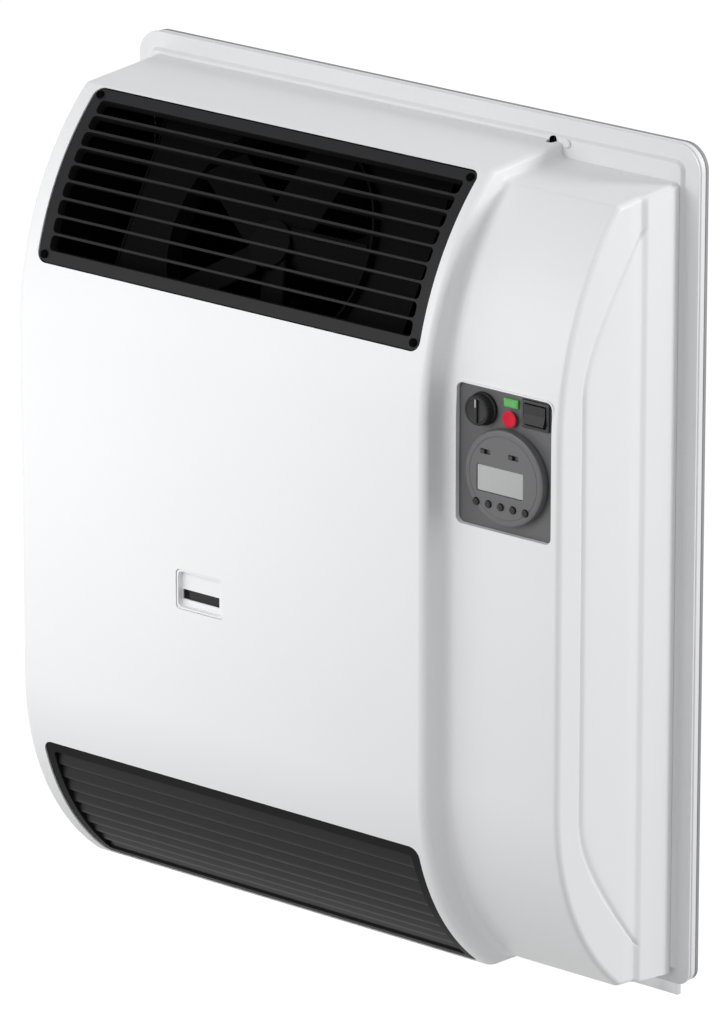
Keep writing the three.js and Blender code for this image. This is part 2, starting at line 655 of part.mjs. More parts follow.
// The whole casing as a block, or the hollow inside it when sheet is its thickness.
function casingBlock(sheet, back) {
  const sections = [];
  const addSection = (x, face, inset) => {
    sections.push({ x, points: casingSection(face, inset, back) });
  };
  const leftRadius = BULGE_EDGE_RADIUS - sheet;
  [...QUARTER].reverse().forEach(({ across, along }) => {
    const x = -HALF_CASING + BULGE_EDGE_RADIUS - leftRadius * across;
    addSection(x, BULGE, BULGE_EDGE_RADIUS - leftRadius * along);
  });
  const edgeRadius = STEP_EDGE_RADIUS - sheet;
  QUARTER.forEach(({ across, along }) => {
    const face = between(BULGE, WING, (STEP_EDGE_RADIUS * (1 - along)) / STEP_DEPTH);
    face.depth = CASING_DEPTH - STEP_EDGE_RADIUS + edgeRadius * along + sheet;
    addSection(STEP_X - STEP_EDGE_RADIUS + edgeRadius * across, face, sheet);
  });
  const coveRadius = STEP_COVE_RADIUS + sheet;
  QUARTER.forEach(({ across, along }) => {
    const face = between(BULGE, WING, 1 - (STEP_COVE_RADIUS * (1 - across)) / STEP_DEPTH);
    face.depth = WING_DEPTH + STEP_COVE_RADIUS - coveRadius * across + sheet;
    addSection(STEP_X + STEP_DRAFT + STEP_COVE_RADIUS - coveRadius * along, face, sheet);
  });
  const rightRadius = WING_EDGE_RADIUS - sheet;
  QUARTER.forEach(({ across, along }) => {
    const x = HALF_CASING - WING_EDGE_RADIUS + rightRadius * across;
    addSection(x, WING, WING_EDGE_RADIUS - rightRadius * along);
  });
  return loft(sections);
}

// ---------------------------------------------------------------- grille windows

// The rounded window of a grille, cut straight through the curve along its middle normal.
function grilleWindow({ curve, from, to }, grow, reach = 30) {
  const middle = (from + to) / 2;
  const halfChord = curve.radius * sine((to - from) / 2) + grow;
  const radius = Math.max(GRILLE_CORNER_RADIUS + grow, WINDOW_GAP);
  const shape = roundedRectangle(
    GRILLE_LEFT - grow, GRILLE_RIGHT + grow, -halfChord, halfChord, radius,
  );
  const centre = onCurve(curve, middle, 0);
  const geometry = new THREE.ExtrudeGeometry(shape, {
    depth: 2 * reach, bevelEnabled: false, curveSegments: CORNER_STEPS,
  });
  geometry.translate(0, 0, -reach);
  geometry.rotateX(Math.PI / 2 - curve.sign * radians(middle));
  geometry.translate(0, centre.x, centre.y);
  return toSolid(geometry);
}

// A curved plate that follows a curve between two sinks and two angles.
function curvedPlate(curve, from, to, sink, thickness, x0, x1) {
  const outer = [];
  const inner = [];
  for (let i = 0; i <= ARC_STEPS; i += 1) {
    const degrees = mix(from, to, i / ARC_STEPS);
    outer.push(onCurve(curve, degrees, sink));
    inner.push(onCurve(curve, degrees, sink + thickness));
  }
  return plateX(new THREE.Shape([...outer, ...inner.reverse()]), x0, x1);
}

// A slat or blade across a grille: its angle along the curve, its tilt off the normal, its size.
function slat(curve, degrees, sink, chord, thickness, tilt, x0, x1) {
  const centre = onCurve(curve, degrees, sink + chord / 2);
  const geometry = new THREE.BoxGeometry(x1 - x0, chord, thickness);
  geometry.rotateX(curve.sign * radians(-degrees) + radians(tilt));
  geometry.translate((x0 + x1) / 2, centre.x, centre.y);
  return toSolid(geometry);
}

// The outer frame of a grille, with its window still open.
function grilleFrame(grille) {
  const spread = 4;              // degrees beyond the window, cut off by it
  const plate = curvedPlate(
    grille.curve, grille.from - spread, grille.to + spread, GRILLE_SINK,
    GRILLE_FRAME_THICKNESS, GRILLE_LEFT - grille.border, GRILLE_RIGHT + grille.border,
  );
  return plate
    .intersect(grilleWindow(grille, -WINDOW_GAP))
    .subtract(grilleWindow(grille, -grille.border));
}

// ---------------------------------------------------------------- placing pieces

const heater = new THREE.Group();

function addPiece(name, solid, material) {
  const mesh = new THREE.Mesh(toGeometry(solid), material);
  mesh.name = name;
  heater.add(mesh);
}

// ---------------------------------------------------------------- wall plate and frames

// A frame bar all round, from one Y to another.
function frameRing(inset, bar, topBar, y0, y1) {
  const outer = roundedRectangle(
    -HALF_FRAME + inset, HALF_FRAME - inset, inset, FRAME_HEIGHT - inset,
    FRAME_TOP_RADIUS - inset, Math.max(FRAME_BOTTOM_RADIUS - inset, 1),
  );
  const inner = box(
    -HALF_FRAME + bar, HALF_FRAME - bar, y0 - 1, y1 + 1, bar, FRAME_HEIGHT - topBar,
  );
  return plateY(outer, y0, y1).subtract(inner);
}

const casingScrewHole = () => barY(
  CASING_SCREW_X, CASING_SCREW_HEIGHT, SCREW_SHANK_RADIUS + RUNNING_GAP,
  TRIM_FRONT - 1, 0, SMALL_SIDES,
);

function makeWallGasket() {
  const open = HALF_FRAME - GASKET_WIDTH;
  const ring = frameRing(WALL_FRAME_INSET, GASKET_WIDTH, GASKET_WIDTH, -GASKET_THICKNESS, 0);
  const way = box(-open, open, -2 * GASKET_THICKNESS, GASKET_THICKNESS, -1, 2 * GASKET_WIDTH);
  addPiece('wall_gasket', ring.subtract(way), GREY_FOAM);
}

function makeWallFrame() {
  const lip = WALL_FRAME_FRONT + WALL_FRAME_GROOVE;
  const ring = frameRing(
    WALL_FRAME_INSET, WALL_FRAME_BAR, WALL_FRAME_BAR, lip, WALL_FRAME_BACK,
  );
  const groove = frameRing(
    WALL_FRAME_INSET + WALL_FRAME_GROOVE, WALL_FRAME_BAR, WALL_FRAME_BAR,
    WALL_FRAME_FRONT, WALL_FRAME_BACK,
  );
  addPiece('wall_frame', ring.add(groove).subtract(casingScrewHole()), FRAME_ENAMEL);
}

function makeTrimFrame() {
  const flange = frameRing(0, TRIM_BAR, TRIM_TOP_BAR, FLANGE_FRONT, TRIM_BACK);
  const step = frameRing(TRIM_STEP_INSET, TRIM_BAR, TRIM_TOP_BAR, TRIM_FRONT, TRIM_BACK);
  addPiece('trim_frame', flange.add(step).subtract(casingScrewHole()), FRAME_ENAMEL);
}

function keyhole(x) {
  const y0 = -WALL_PLATE_THICKNESS - 1;
  const z = FRAME_HEIGHT - KEYHOLE_DROP;
  return join([
    barY(x, z, KEYHOLE_RADIUS, y0, 1, SMALL_SIDES),
    box(x - KEYHOLE_SLOT / 2, x + KEYHOLE_SLOT / 2, y0, 1, z, z + KEYHOLE_SLOT_TALL),
  ]);
}

function makeWallPlate() {
  const half = HALF_FRAME - GASKET_WIDTH - WINDOW_GAP;
  const sheet = box(-half, half, -WALL_PLATE_THICKNESS, 0, -WALL_PLATE_LIP,
    FRAME_HEIGHT - WALL_PLATE_TOP_DROP);
  addPiece('wall_plate', cut(sheet, [
    barY(FLUE_X, FLUE_HEIGHT, AIR_RADIUS + RUNNING_GAP, -WALL_PLATE_THICKNESS - 1, 1),
    keyhole(-HALF_FRAME + KEYHOLE_INSET),
    keyhole(HALF_FRAME - KEYHOLE_INSET),
  ]), ZINC);
}

// ---------------------------------------------------------------- casing

// The D-shaped outline on the flank: straight at the back, curved in at the top and bottom.
function pressingShape() {
  const front = WING_FACE + PRESSING_SETBACK;
  const top = WING_ROOF_HEIGHT - PRESSING_TOP_MARGIN;
  const bottom = FLOOR_HEIGHT + PRESSING_BOTTOM_MARGIN;
  const bend = (-CREASE_FROM_WALL - front) / 2;
  const shape = new THREE.Shape();
  shape.moveTo(-CREASE_FROM_WALL, bottom);
  shape.lineTo(-CREASE_FROM_WALL, top);
  shape.quadraticCurveTo(front, top - PRESSING_TOP_RUN + bend, front, top - PRESSING_TOP_RUN);
  shape.lineTo(front, bottom + PRESSING_BOTTOM_RUN);
  shape.quadraticCurveTo(
    front, bottom + PRESSING_BOTTOM_RUN - bend, -CREASE_FROM_WALL, bottom,
  );
  return shape;
}

// One step of the flank: an outline that stands out of it, within the flat of the wing's side.
function flankStep(shape, rise) {
  const flat = new THREE.Shape(casingSection(WING, WING_EDGE_RADIUS, CASING_BACK));
  return plateX(shape, HALF_CASING - SHEET / 2, HALF_CASING + rise, 8)
    .intersect(plateX(flat, HALF_CASING - SHEET, HALF_CASING + 2 * rise));
}

// The strip of the flank behind its upright line.
function creaseShape() {
  return new THREE.Shape([
    point(-CREASE_FROM_WALL, FLOOR_HEIGHT), point(CASING_BACK, FLOOR_HEIGHT),
    point(CASING_BACK, WING_ROOF_HEIGHT), point(-CREASE_FROM_WALL, WING_ROOF_HEIGHT),
  ]);
}

function panelWindow(grow, y0, y1) {
  return plateY(roundedRectangle(
    PANEL_LEFT - grow, PANEL_RIGHT + grow, PANEL_BOTTOM - grow, PANEL_TOP + grow,
    PANEL_CORNER_RADIUS + Math.min(grow, 0),
  ), y0, y1);
}

function sightOutline(grow, y0, y1) {
  return plateY(roundedRectangle(
    SIGHT_X - SIGHT_WIDTH / 2 - grow, SIGHT_X + SIGHT_WIDTH / 2 + grow,
    SIGHT_HEIGHT - SIGHT_TALL / 2 - grow, SIGHT_HEIGHT + SIGHT_TALL / 2 + grow,
    SIGHT_CORNER_RADIUS,
  ), y0, y1);
}

function makeFrontCasing() {
  const shell = casingBlock(0, CASING_BACK).subtract(casingBlock(SHEET, 0));
  const panelBack = WING_FACE + PANEL_RECESS;
  const panelLip = panelWindow(PANEL_LIP_WALL, WING_FACE + SHEET / 2, panelBack)
    .subtract(panelWindow(0, WING_FACE - 1, panelBack + 1));
  const sheet = join([
    shell, panelLip, flankStep(pressingShape(), PRESSING_RISE),
    flankStep(creaseShape(), CREASE_RISE),
  ]);
  addPiece('front_casing', cut(sheet, [
    panelWindow(0, WING_FACE - 1, panelBack + 1),
    grilleWindow(INTAKE, 0),
    grilleWindow(OUTLET, 0),
    sightOutline(0, -CASING_DEPTH - 1, -CASING_DEPTH + 2 * SHEET),
    barZ(CORNER_RELIEF_X, CASING_BACK - CORNER_RELIEF_RADIUS, CORNER_RELIEF_RADIUS,
      ROOF_HEIGHT - 4 * SHEET, ROOF_HEIGHT + 1, SMALL_SIDES),
    box(-SERVICE_HALF_WIDTH, SERVICE_HALF_WIDTH, -SERVICE_OPENING_FRONT, 0,
      0, 3 * FLOOR_HEIGHT),
  ]), WHITE_ENAMEL);
}

function makeBottomPanel() {
  const half = SERVICE_HALF_WIDTH - WINDOW_GAP;
  const front = -SERVICE_OPENING_FRONT + WINDOW_GAP;
  const top = BOTTOM_PANEL_HEIGHT + BOTTOM_PANEL_SHEET;
  const floor = BOTTOM_PANEL_HEIGHT - 1;
  addPiece('bottom_panel', cut(join([
    box(-half, half, front, CASING_BACK, BOTTOM_PANEL_HEIGHT, top),
    box(-half, half, front, front + BOTTOM_PANEL_SHEET, BOTTOM_PANEL_HEIGHT - BOTTOM_PANEL_RIM,
      top),
  ]), [
    barZ(VALVE_X, INLET_Y, INLET_PIPE_RADIUS + RUNNING_GAP, floor, top + 1, SMALL_SIDES),
    barZ(GLAND_X, -GLAND_DEPTH, GLAND_NECK_RADIUS + RUNNING_GAP, floor, top + 1, SMALL_SIDES),
  ]), ZINC);
}

// ---------------------------------------------------------------- grilles and screws

function makeIntakeGrille() {
  const perMillimetre = 180 / Math.PI / TOP_CURVE_RADIUS;
  const first = (INTAKE_FROM + INTAKE_TO) / 2
    - ((INTAKE_SLATS - 1) / 2) * INTAKE_SLAT_PITCH * perMillimetre;
  const reach = GRILLE_FRAME_THICKNESS - INTAKE_SLAT_SINK;
  const slats = Array.from({ length: INTAKE_SLATS }, (_, i) => slat(
    TOP_CURVE, first + i * INTAKE_SLAT_PITCH * perMillimetre, GRILLE_SINK + INTAKE_SLAT_SINK,
    reach, INTAKE_SLAT_THICKNESS, 0,
    GRILLE_LEFT + INTAKE_BORDER - BLADE_ROOT, GRILLE_RIGHT - INTAKE_BORDER + BLADE_ROOT,
  ));
  addPiece('intake_grille', cut(join([grilleFrame(INTAKE), ...slats]),
    grilleScrewPlaces().map(({ x, degrees }) => screwHole(x, degrees))), GRILLE_PLASTIC);
}

function makeOutletGrille() {
  const margin = (OUTLET_BORDER / OUTLET.curve.radius) * (180 / Math.PI);
  const span = OUTLET_TO - OUTLET_FROM - 2 * margin;
  const blades = Array.from({ length: OUTLET_BLADES }, (_, i) => {
    const degrees = OUTLET_FROM + margin + (span * (i + 0.5)) / OUTLET_BLADES;
    return slat(BOTTOM_CURVE, degrees, OUTLET_BLADE_SINK - OUTLET_BLADE_CHORD / 2,
      OUTLET_BLADE_CHORD, OUTLET_BLADE_THICKNESS, 90 + OUTLET_BLADE_TILT,
      GRILLE_LEFT + OUTLET_BORDER - BLADE_ROOT, GRILLE_RIGHT - OUTLET_BORDER + BLADE_ROOT);
  });
  const limit = grilleWindow(OUTLET, -WINDOW_GAP - 1);
  addPiece('outlet_grille', grilleFrame(OUTLET).add(join(blades).intersect(limit)),
    GRILLE_PLASTIC);
}

// The four corners of the intake grille where it is screwed down.
function grilleScrewPlaces() {
  const inset = (GRILLE_SCREW_INSET / TOP_CURVE_RADIUS) * (180 / Math.PI);
  return [
    { x: GRILLE_LEFT + GRILLE_SCREW_INSET, degrees: INTAKE_FROM + inset },
    { x: GRILLE_LEFT + GRILLE_SCREW_INSET, degrees: INTAKE_TO - inset },
    { x: GRILLE_RIGHT - GRILLE_SCREW_INSET, degrees: INTAKE_FROM + inset },
    { x: GRILLE_RIGHT - GRILLE_SCREW_INSET, degrees: INTAKE_TO - inset },
  ];
}

// Turns a piece made about +Z so that it stands out of the top curve at an angle.
function standOnTopCurve(geometry, x, degrees, sink) {
  const foot = onCurve(TOP_CURVE, degrees, sink);
  geometry.rotateX(Math.PI / 2 - radians(degrees));
  geometry.translate(x, foot.x, foot.y);
  return toSolid(geometry);
}

function screwHole(x, degrees) {
  const radius = SCREW_SHANK_RADIUS + RUNNING_GAP;
  const geometry = new THREE.CylinderGeometry(radius, radius, 40, SMALL_SIDES)
    .rotateX(Math.PI / 2);
  return standOnTopCurve(geometry, x, degrees, 0);
}

// A pan head screw that points along -Z, its head seated at z = 0.
function screwGeometry() {
  const outline = [
    point(0, -SCREW_LENGTH), point(SCREW_SHANK_RADIUS, -SCREW_LENGTH),
    point(SCREW_SHANK_RADIUS, 0), point(SCREW_HEAD_RADIUS, 0),
    point(SCREW_HEAD_RADIUS, SCREW_HEAD_HEIGHT * 0.5),
    point(SCREW_HEAD_RADIUS * 0.7, SCREW_HEAD_HEIGHT), point(0, SCREW_HEAD_HEIGHT),
  ];
  return new THREE.LatheGeometry(outline, SMALL_SIDES).rotateX(Math.PI / 2);
}

function makeScrews() {
  grilleScrewPlaces().forEach(({ x, degrees }, i) => {
    const seat = GRILLE_SINK - SEAT_GAP;
    addPiece('grille_screw_' + (i + 1), standOnTopCurve(screwGeometry(), x, degrees, seat), ZINC);
  });
  const casingScrew = screwGeometry().rotateX(Math.PI / 2)
    .translate(CASING_SCREW_X, CASING_BACK, CASING_SCREW_HEIGHT);
  addPiece('casing_screw', toSolid(casingScrew), ZINC);
}

// ---------------------------------------------------------------- sight window

function makeSightWindow() {
  const face = -CASING_DEPTH;
  const seat = face + SHEET + SEAT_GAP;
  const floor = face + SIGHT_SINK;
  const slot = box(
    SLOT_X - SLOT_WIDTH / 2, SLOT_X + SLOT_WIDTH / 2, floor - 2, floor + 3,
    SLOT_HEIGHT - SLOT_TALL / 2, SLOT_HEIGHT + SLOT_TALL / 2,
  );
  const bowl = join([
    sightOutline(SIGHT_FLANGE, seat, seat + SIGHT_WALL),
    sightOutline(-WINDOW_GAP, face + SHEET / 2, floor + SIGHT_WALL),
  ]).subtract(sightOutline(-WINDOW_GAP - SIGHT_WALL, face - 1, floor));
  addPiece('sight_bezel', bowl.subtract(slot), WHITE_ENAMEL);

  const glassFront = floor + SIGHT_WALL + SEAT_GAP;
  const glassBack = glassFront + SIGHT_GLASS_THICKNESS;
  const halfWidth = SLOT_WIDTH / 2 + SIGHT_FLANGE;
  const halfTall = SLOT_TALL / 2 + SIGHT_FLANGE;
  addPiece('sight_glass', box(
    SLOT_X - halfWidth, SLOT_X + halfWidth, glassFront, glassBack,
    SLOT_HEIGHT - halfTall, SLOT_HEIGHT + halfTall,
  ), DARK_GLASS);

  const tubeFront = glassBack + SEAT_GAP;
  const tubeBack = -(CHAMBER_FRONT + SEAT_GAP);
  addPiece('sight_tube', box(
    SLOT_X - halfWidth, SLOT_X + halfWidth, tubeFront, tubeBack,
    SLOT_HEIGHT - halfTall, SLOT_HEIGHT + halfTall,
  ).subtract(box(
    SLOT_X - halfWidth + SIGHT_TUBE_WALL, SLOT_X + halfWidth - SIGHT_TUBE_WALL,
    tubeFront - 1, tubeBack + 1,
    SLOT_HEIGHT - halfTall + SIGHT_TUBE_WALL, SLOT_HEIGHT + halfTall - SIGHT_TUBE_WALL,
  )), STEEL);
}

// ---------------------------------------------------------------- control panel

const blockAt = (x, z, width, tall, y0, y1) =>
  box(x - width / 2, x + width / 2, y0, y1, z - tall / 2, z + tall / 2);

const timerButtonPlaces = () => Array.from({ length: TIMER_BUTTONS }, (_, i) =>
  TIMER_X + TIMER_BUTTON_SHIFT + (i - (TIMER_BUTTONS - 1) / 2) * TIMER_BUTTON_PITCH);

const ROCKER_INNER_WIDTH = ROCKER_WIDTH - 2 * ROCKER_BEZEL;
const ROCKER_INNER_TALL = ROCKER_TALL - 2 * ROCKER_BEZEL;

function makeControlPlate() {
  const plate = plateY(roundedRectangle(
    PANEL_LEFT - PANEL_MARGIN, PANEL_RIGHT + PANEL_MARGIN,
    PANEL_BOTTOM - PANEL_MARGIN, PANEL_TOP + PANEL_MARGIN, PANEL_CORNER_RADIUS,
  ), PLATE_FACE, PLATE_BACK);
  const y0 = PLATE_FACE - 1;
  const y1 = PLATE_BACK + 1;
  addPiece('control_plate', cut(plate, [
    barY(KNOB_X, KNOB_HEIGHT, SHAFT_RADIUS + RUNNING_GAP, y0, y1, SMALL_SIDES),
    blockAt(LAMP_X, LAMP_HEIGHT, LAMP_WIDTH - 2 * LAMP_BEZEL, LAMP_TALL - 2 * LAMP_BEZEL,
      y0, y1),
    barY(RESET_X, RESET_HEIGHT, RESET_STEM_RADIUS + RUNNING_GAP, y0, y1, SMALL_SIDES),
    blockAt(ROCKER_X, ROCKER_HEIGHT, ROCKER_INNER_WIDTH + 2 * WINDOW_GAP,
      ROCKER_INNER_TALL + 2 * WINDOW_GAP, y0, y1),
    barY(TIMER_X, TIMER_HEIGHT, TIMER_BODY_RADIUS + WINDOW_GAP, y0, y1),
  ]), PANEL_PLASTIC);
}

function makeThermostat() {
  const back = PLATE_FACE - RUNNING_GAP;
  const face = PLATE_FACE - KNOB_PROUD;
  const skirt = back - KNOB_SKIRT_HEIGHT;
  const knob = turned([
    [0, -back], [KNOB_SKIRT_RADIUS, -back], [KNOB_SKIRT_RADIUS, -skirt], [KNOB_RADIUS, -skirt],
    [KNOB_RADIUS, -face - KNOB_CROWN], [KNOB_RADIUS - KNOB_CROWN, -face], [0, -face],
  ], KNOB_X, KNOB_HEIGHT);
  const grip = blockAt(
    KNOB_X, KNOB_HEIGHT, KNOB_GRIP_WIDTH, 2 * (KNOB_RADIUS - KNOB_CROWN), face - KNOB_CROWN,
    face + 1,
  );
  const shaftTip = back - SHAFT_INTO_KNOB;
  const socket = barY(
    KNOB_X, KNOB_HEIGHT, SHAFT_RADIUS + SEAT_GAP, shaftTip - SEAT_GAP, back + 1, SMALL_SIDES,
  );
  addPiece('thermostat_knob', knob.add(grip).subtract(socket), BLACK_PLASTIC);

  const shaftEnd = BEHIND_PLATE + THERMOSTAT_BODY_DEPTH / 2;
  addPiece('thermostat_shaft', barY(
    KNOB_X, KNOB_HEIGHT, SHAFT_RADIUS, shaftTip, shaftEnd, SMALL_SIDES,
  ), STEEL);
  addPiece('thermostat_body', blockAt(
    KNOB_X, KNOB_HEIGHT, THERMOSTAT_BODY_WIDTH, THERMOSTAT_BODY_HEIGHT,
    BEHIND_PLATE, BEHIND_PLATE + THERMOSTAT_BODY_DEPTH,
  ).subtract(barY(KNOB_X, KNOB_HEIGHT, SHAFT_RADIUS + RUNNING_GAP, BEHIND_PLATE - 1,
    shaftEnd + RUNNING_GAP, SMALL_SIDES)), STEEL);
}

// The bulb hangs in the stream of room air and its thin tube runs to the thermostat.
function makeThermostatProbe() {
  const start = BEHIND_PLATE + THERMOSTAT_BODY_DEPTH + SEAT_GAP;
  const bulbX = PANEL_LEFT + PROBE_OFFSET;
  const bulbY = start + PROBE_SETBACK;
  const bulbTop = PANEL_TOP + PROBE_RISE;
  const bulbBottom = bulbTop - PROBE_LENGTH;
  addPiece('thermostat_probe', join([
    pipe([
      [KNOB_X, start, KNOB_HEIGHT], [KNOB_X, start + CAPILLARY_BEND, KNOB_HEIGHT],
      [(KNOB_X + bulbX) / 2, start + CAPILLARY_BEND, (KNOB_HEIGHT + bulbBottom) / 2],
      [bulbX, bulbY, bulbBottom - CAPILLARY_BEND / 2], [bulbX, bulbY, bulbBottom + 1],
    ], CAPILLARY_RADIUS, 24, 6),
    barZ(bulbX, bulbY, PROBE_RADIUS, bulbBottom, bulbTop, SMALL_SIDES),
  ]), BRASS);
}

function makeLampAndReset() {
  const bezelBack = PLATE_FACE - SEAT_GAP;
  const inside = 2 * (LAMP_BEZEL + RUNNING_GAP);
  addPiece('green_lamp', blockAt(
    LAMP_X, LAMP_HEIGHT, LAMP_WIDTH, LAMP_TALL, PLATE_FACE - LAMP_PROUD, bezelBack,
  ).add(blockAt(
    LAMP_X, LAMP_HEIGHT, LAMP_WIDTH - inside, LAMP_TALL - inside,
    PLATE_FACE - LAMP_PROUD / 2, PLATE_BACK + LAMP_BODY_DEPTH,
  )), GREEN_LENS);

  const capBack = PLATE_FACE - RESET_TRAVEL - RUNNING_GAP;
  const stemEnd = PLATE_BACK + RESET_STEM_LENGTH;
  addPiece('reset_button', barY(
    RESET_X, RESET_HEIGHT, RESET_RADIUS, PLATE_FACE - RESET_PROUD, capBack,
  ).add(barY(RESET_X, RESET_HEIGHT, RESET_STEM_RADIUS, capBack - 1, stemEnd, SMALL_SIDES)),
  RED_CAP);

  const well = stemEnd + RESET_TRAVEL + RUNNING_GAP;
  addPiece('reset_switch', blockAt(
    RESET_X, RESET_HEIGHT, RESET_SWITCH_WIDTH, RESET_SWITCH_WIDTH, BEHIND_PLATE,
    well + RESET_SWITCH_FLOOR,
  ).subtract(barY(RESET_X, RESET_HEIGHT, RESET_STEM_RADIUS + RUNNING_GAP, BEHIND_PLATE - 1,
    well, SMALL_SIDES)), BLACK_PLASTIC);
}

function makeRocker() {
  const front = PLATE_FACE - ROCKER_BEZEL_PROUD;
  const back = PLATE_BACK + ROCKER_BODY_DEPTH;
  const pivot = PLATE_FACE + ROCKER_WALL;
  const wellWidth = ROCKER_INNER_WIDTH - 2 * ROCKER_WALL;
  const wellTall = ROCKER_INNER_TALL - ROCKER_WALL;
  const frame = join([
    blockAt(ROCKER_X, ROCKER_HEIGHT, ROCKER_WIDTH, ROCKER_TALL, front, PLATE_FACE - SEAT_GAP),
    blockAt(ROCKER_X, ROCKER_HEIGHT, ROCKER_INNER_WIDTH, ROCKER_INNER_TALL, front + 1, back),
  ]).subtract(blockAt(ROCKER_X, ROCKER_HEIGHT, wellWidth, wellTall, front - 1,
    pivot + ROCKER_WELL));
  addPiece('rocker_frame', frame, BLACK_PLASTIC);

  // The key is a shallow V seen from the side, tipped onto one of its two faces.
  const halfTall = wellTall / 2 - ROCKER_END_GAP;
  const rise = (sine(ROCKER_TILT) / cosine(ROCKER_TILT)) * halfTall;
  const outline = new THREE.Shape([
    point(0, -halfTall), point(ROCKER_HEEL, -halfTall * 0.4),
    point(ROCKER_HEEL, halfTall * 0.4), point(0, halfTall),
    point(-ROCKER_CROWN - rise, halfTall), point(-ROCKER_CROWN, 0),
    point(-ROCKER_CROWN - rise, -halfTall),
  ]);
  const width = wellWidth - 2 * RUNNING_GAP;
  const geometry = new THREE.ExtrudeGeometry(outline, { depth: width, bevelEnabled: false });
  geometry.applyMatrix4(ACROSS).translate(-width / 2, 0, 0);
  geometry.rotateX(radians(-ROCKER_TILT));
  geometry.translate(ROCKER_X, pivot, ROCKER_HEIGHT);
  addPiece('rocker_key', toSolid(geometry), BLACK_PLASTIC);
}

function makeTimer() {
  const back = PLATE_BACK + TIMER_BODY_DEPTH;
  const seat = PLATE_FACE - SEAT_GAP;
  const housing = turned([
    [0, -back], [TIMER_BODY_RADIUS, -back], [TIMER_BODY_RADIUS, -seat], [TIMER_RADIUS, -seat],
    [TIMER_RADIUS, -TIMER_FACE - TIMER_EDGE], [TIMER_RADIUS - TIMER_EDGE, -TIMER_FACE],
    [0, -TIMER_FACE],
  ], TIMER_X, TIMER_HEIGHT, 36);
  const y0 = TIMER_FACE - 1;
  const buttonBack = TIMER_FACE - TIMER_BUTTON_PROUD + TIMER_BUTTON_LENGTH;
  const displayFront = TIMER_FACE + DISPLAY_SINK;
  const displayBack = displayFront + DISPLAY_THICKNESS;
  addPiece('timer_housing', cut(housing, [
    blockAt(DISPLAY_X, DISPLAY_HEIGHT, DISPLAY_WIDTH + 2 * SEAT_GAP, DISPLAY_TALL + 2 * SEAT_GAP,
      y0, displayBack + SEAT_GAP),
    ...timerButtonPlaces().map((x) => barY(x, TIMER_BUTTON_HEIGHT,
      TIMER_BUTTON_RADIUS + RUNNING_GAP, y0, buttonBack + TIMER_BUTTON_TRAVEL + RUNNING_GAP,
      SMALL_SIDES)),
    ...[-1, 1].map((side) => blockAt(SLIDE_X + (side * SLIDE_SPACING) / 2, SLIDE_HEIGHT,
      SLIDE_SLOT_WIDTH, SLIDE_SLOT_TALL, y0, TIMER_FACE + SLIDE_SLOT_DEPTH)),
  ]), TIMER_PLASTIC);
  addPiece('timer_display', blockAt(
    DISPLAY_X, DISPLAY_HEIGHT, DISPLAY_WIDTH, DISPLAY_TALL, displayFront, displayBack,
  ), DISPLAY_GLASS);
  timerButtonPlaces().forEach((x, i) => {
    addPiece('timer_button_' + (i + 1), barY(
      x, TIMER_BUTTON_HEIGHT, TIMER_BUTTON_RADIUS, TIMER_FACE - TIMER_BUTTON_PROUD, buttonBack,
      SMALL_SIDES,
    ), BLACK_PLASTIC);
  });
  const parked = (SLIDE_SLOT_WIDTH - SLIDE_NUB_WIDTH) / 2 - RUNNING_GAP;
  [['left', -1], ['right', 1]].forEach(([name, side]) => {
    addPiece('timer_slide_' + name, blockAt(
      SLIDE_X + (side * SLIDE_SPACING) / 2 - parked, SLIDE_HEIGHT,
      SLIDE_NUB_WIDTH, SLIDE_SLOT_TALL - 2 * RUNNING_GAP,
      TIMER_FACE - SLIDE_NUB_PROUD, TIMER_FACE + SLIDE_SLOT_DEPTH - RUNNING_GAP,
    ), BLACK_PLASTIC);
  });
}

// ---------------------------------------------------------------- combustion chamber

function makeChamber() {
  const outer = box(
    CHAMBER_LEFT, CHAMBER_RIGHT, -CHAMBER_FRONT, -CHAMBER_BACK, CHAMBER_BOTTOM, CHAMBER_TOP,
  );
  const hollow = box(
    CHAMBER_LEFT + CHAMBER_SHEET, CHAMBER_RIGHT - CHAMBER_SHEET,
    -CHAMBER_FRONT + CHAMBER_SHEET, -CHAMBER_BACK - CHAMBER_SHEET,
    CHAMBER_BOTTOM + CHAMBER_SHEET, CHAMBER_TOP - CHAMBER_SHEET,
  );
  addPiece('combustion_chamber', cut(outer, [
    hollow,
    blockAt(SLOT_X, SLOT_HEIGHT, SLOT_WIDTH + 2 * CHAMBER_WINDOW_MARGIN,
      SLOT_TALL + 2 * CHAMBER_WINDOW_MARGIN, -CHAMBER_FRONT - 1,
      -CHAMBER_FRONT + CHAMBER_SHEET + 1),
    barY(FLUE_X, FLUE_HEIGHT, FLUE_RADIUS - TUBE_WALL, -CHAMBER_BACK - CHAMBER_SHEET - 1,
      -CHAMBER_BACK + 1),
    box(BURNER_X - BURNER_WIDTH / 2 - WINDOW_GAP, BURNER_X + BURNER_WIDTH / 2 + WINDOW_GAP,
      BURNER_Y - BURNER_DEPTH / 2 - WINDOW_GAP, BURNER_Y + BURNER_DEPTH / 2 + WINDOW_GAP,
      CHAMBER_BOTTOM - 1, CHAMBER_BOTTOM + CHAMBER_SHEET + 1),
    ...[IGNITION_MARGIN, SENSOR_MARGIN].map((margin) => barY(CHAMBER_RIGHT - margin,
      ELECTRODE_HEIGHT, CERAMIC_RADIUS + RUNNING_GAP, -CHAMBER_FRONT - 1,
      -CHAMBER_FRONT + CHAMBER_SHEET + 1, SMALL_SIDES)),
  ]), STEEL);
}

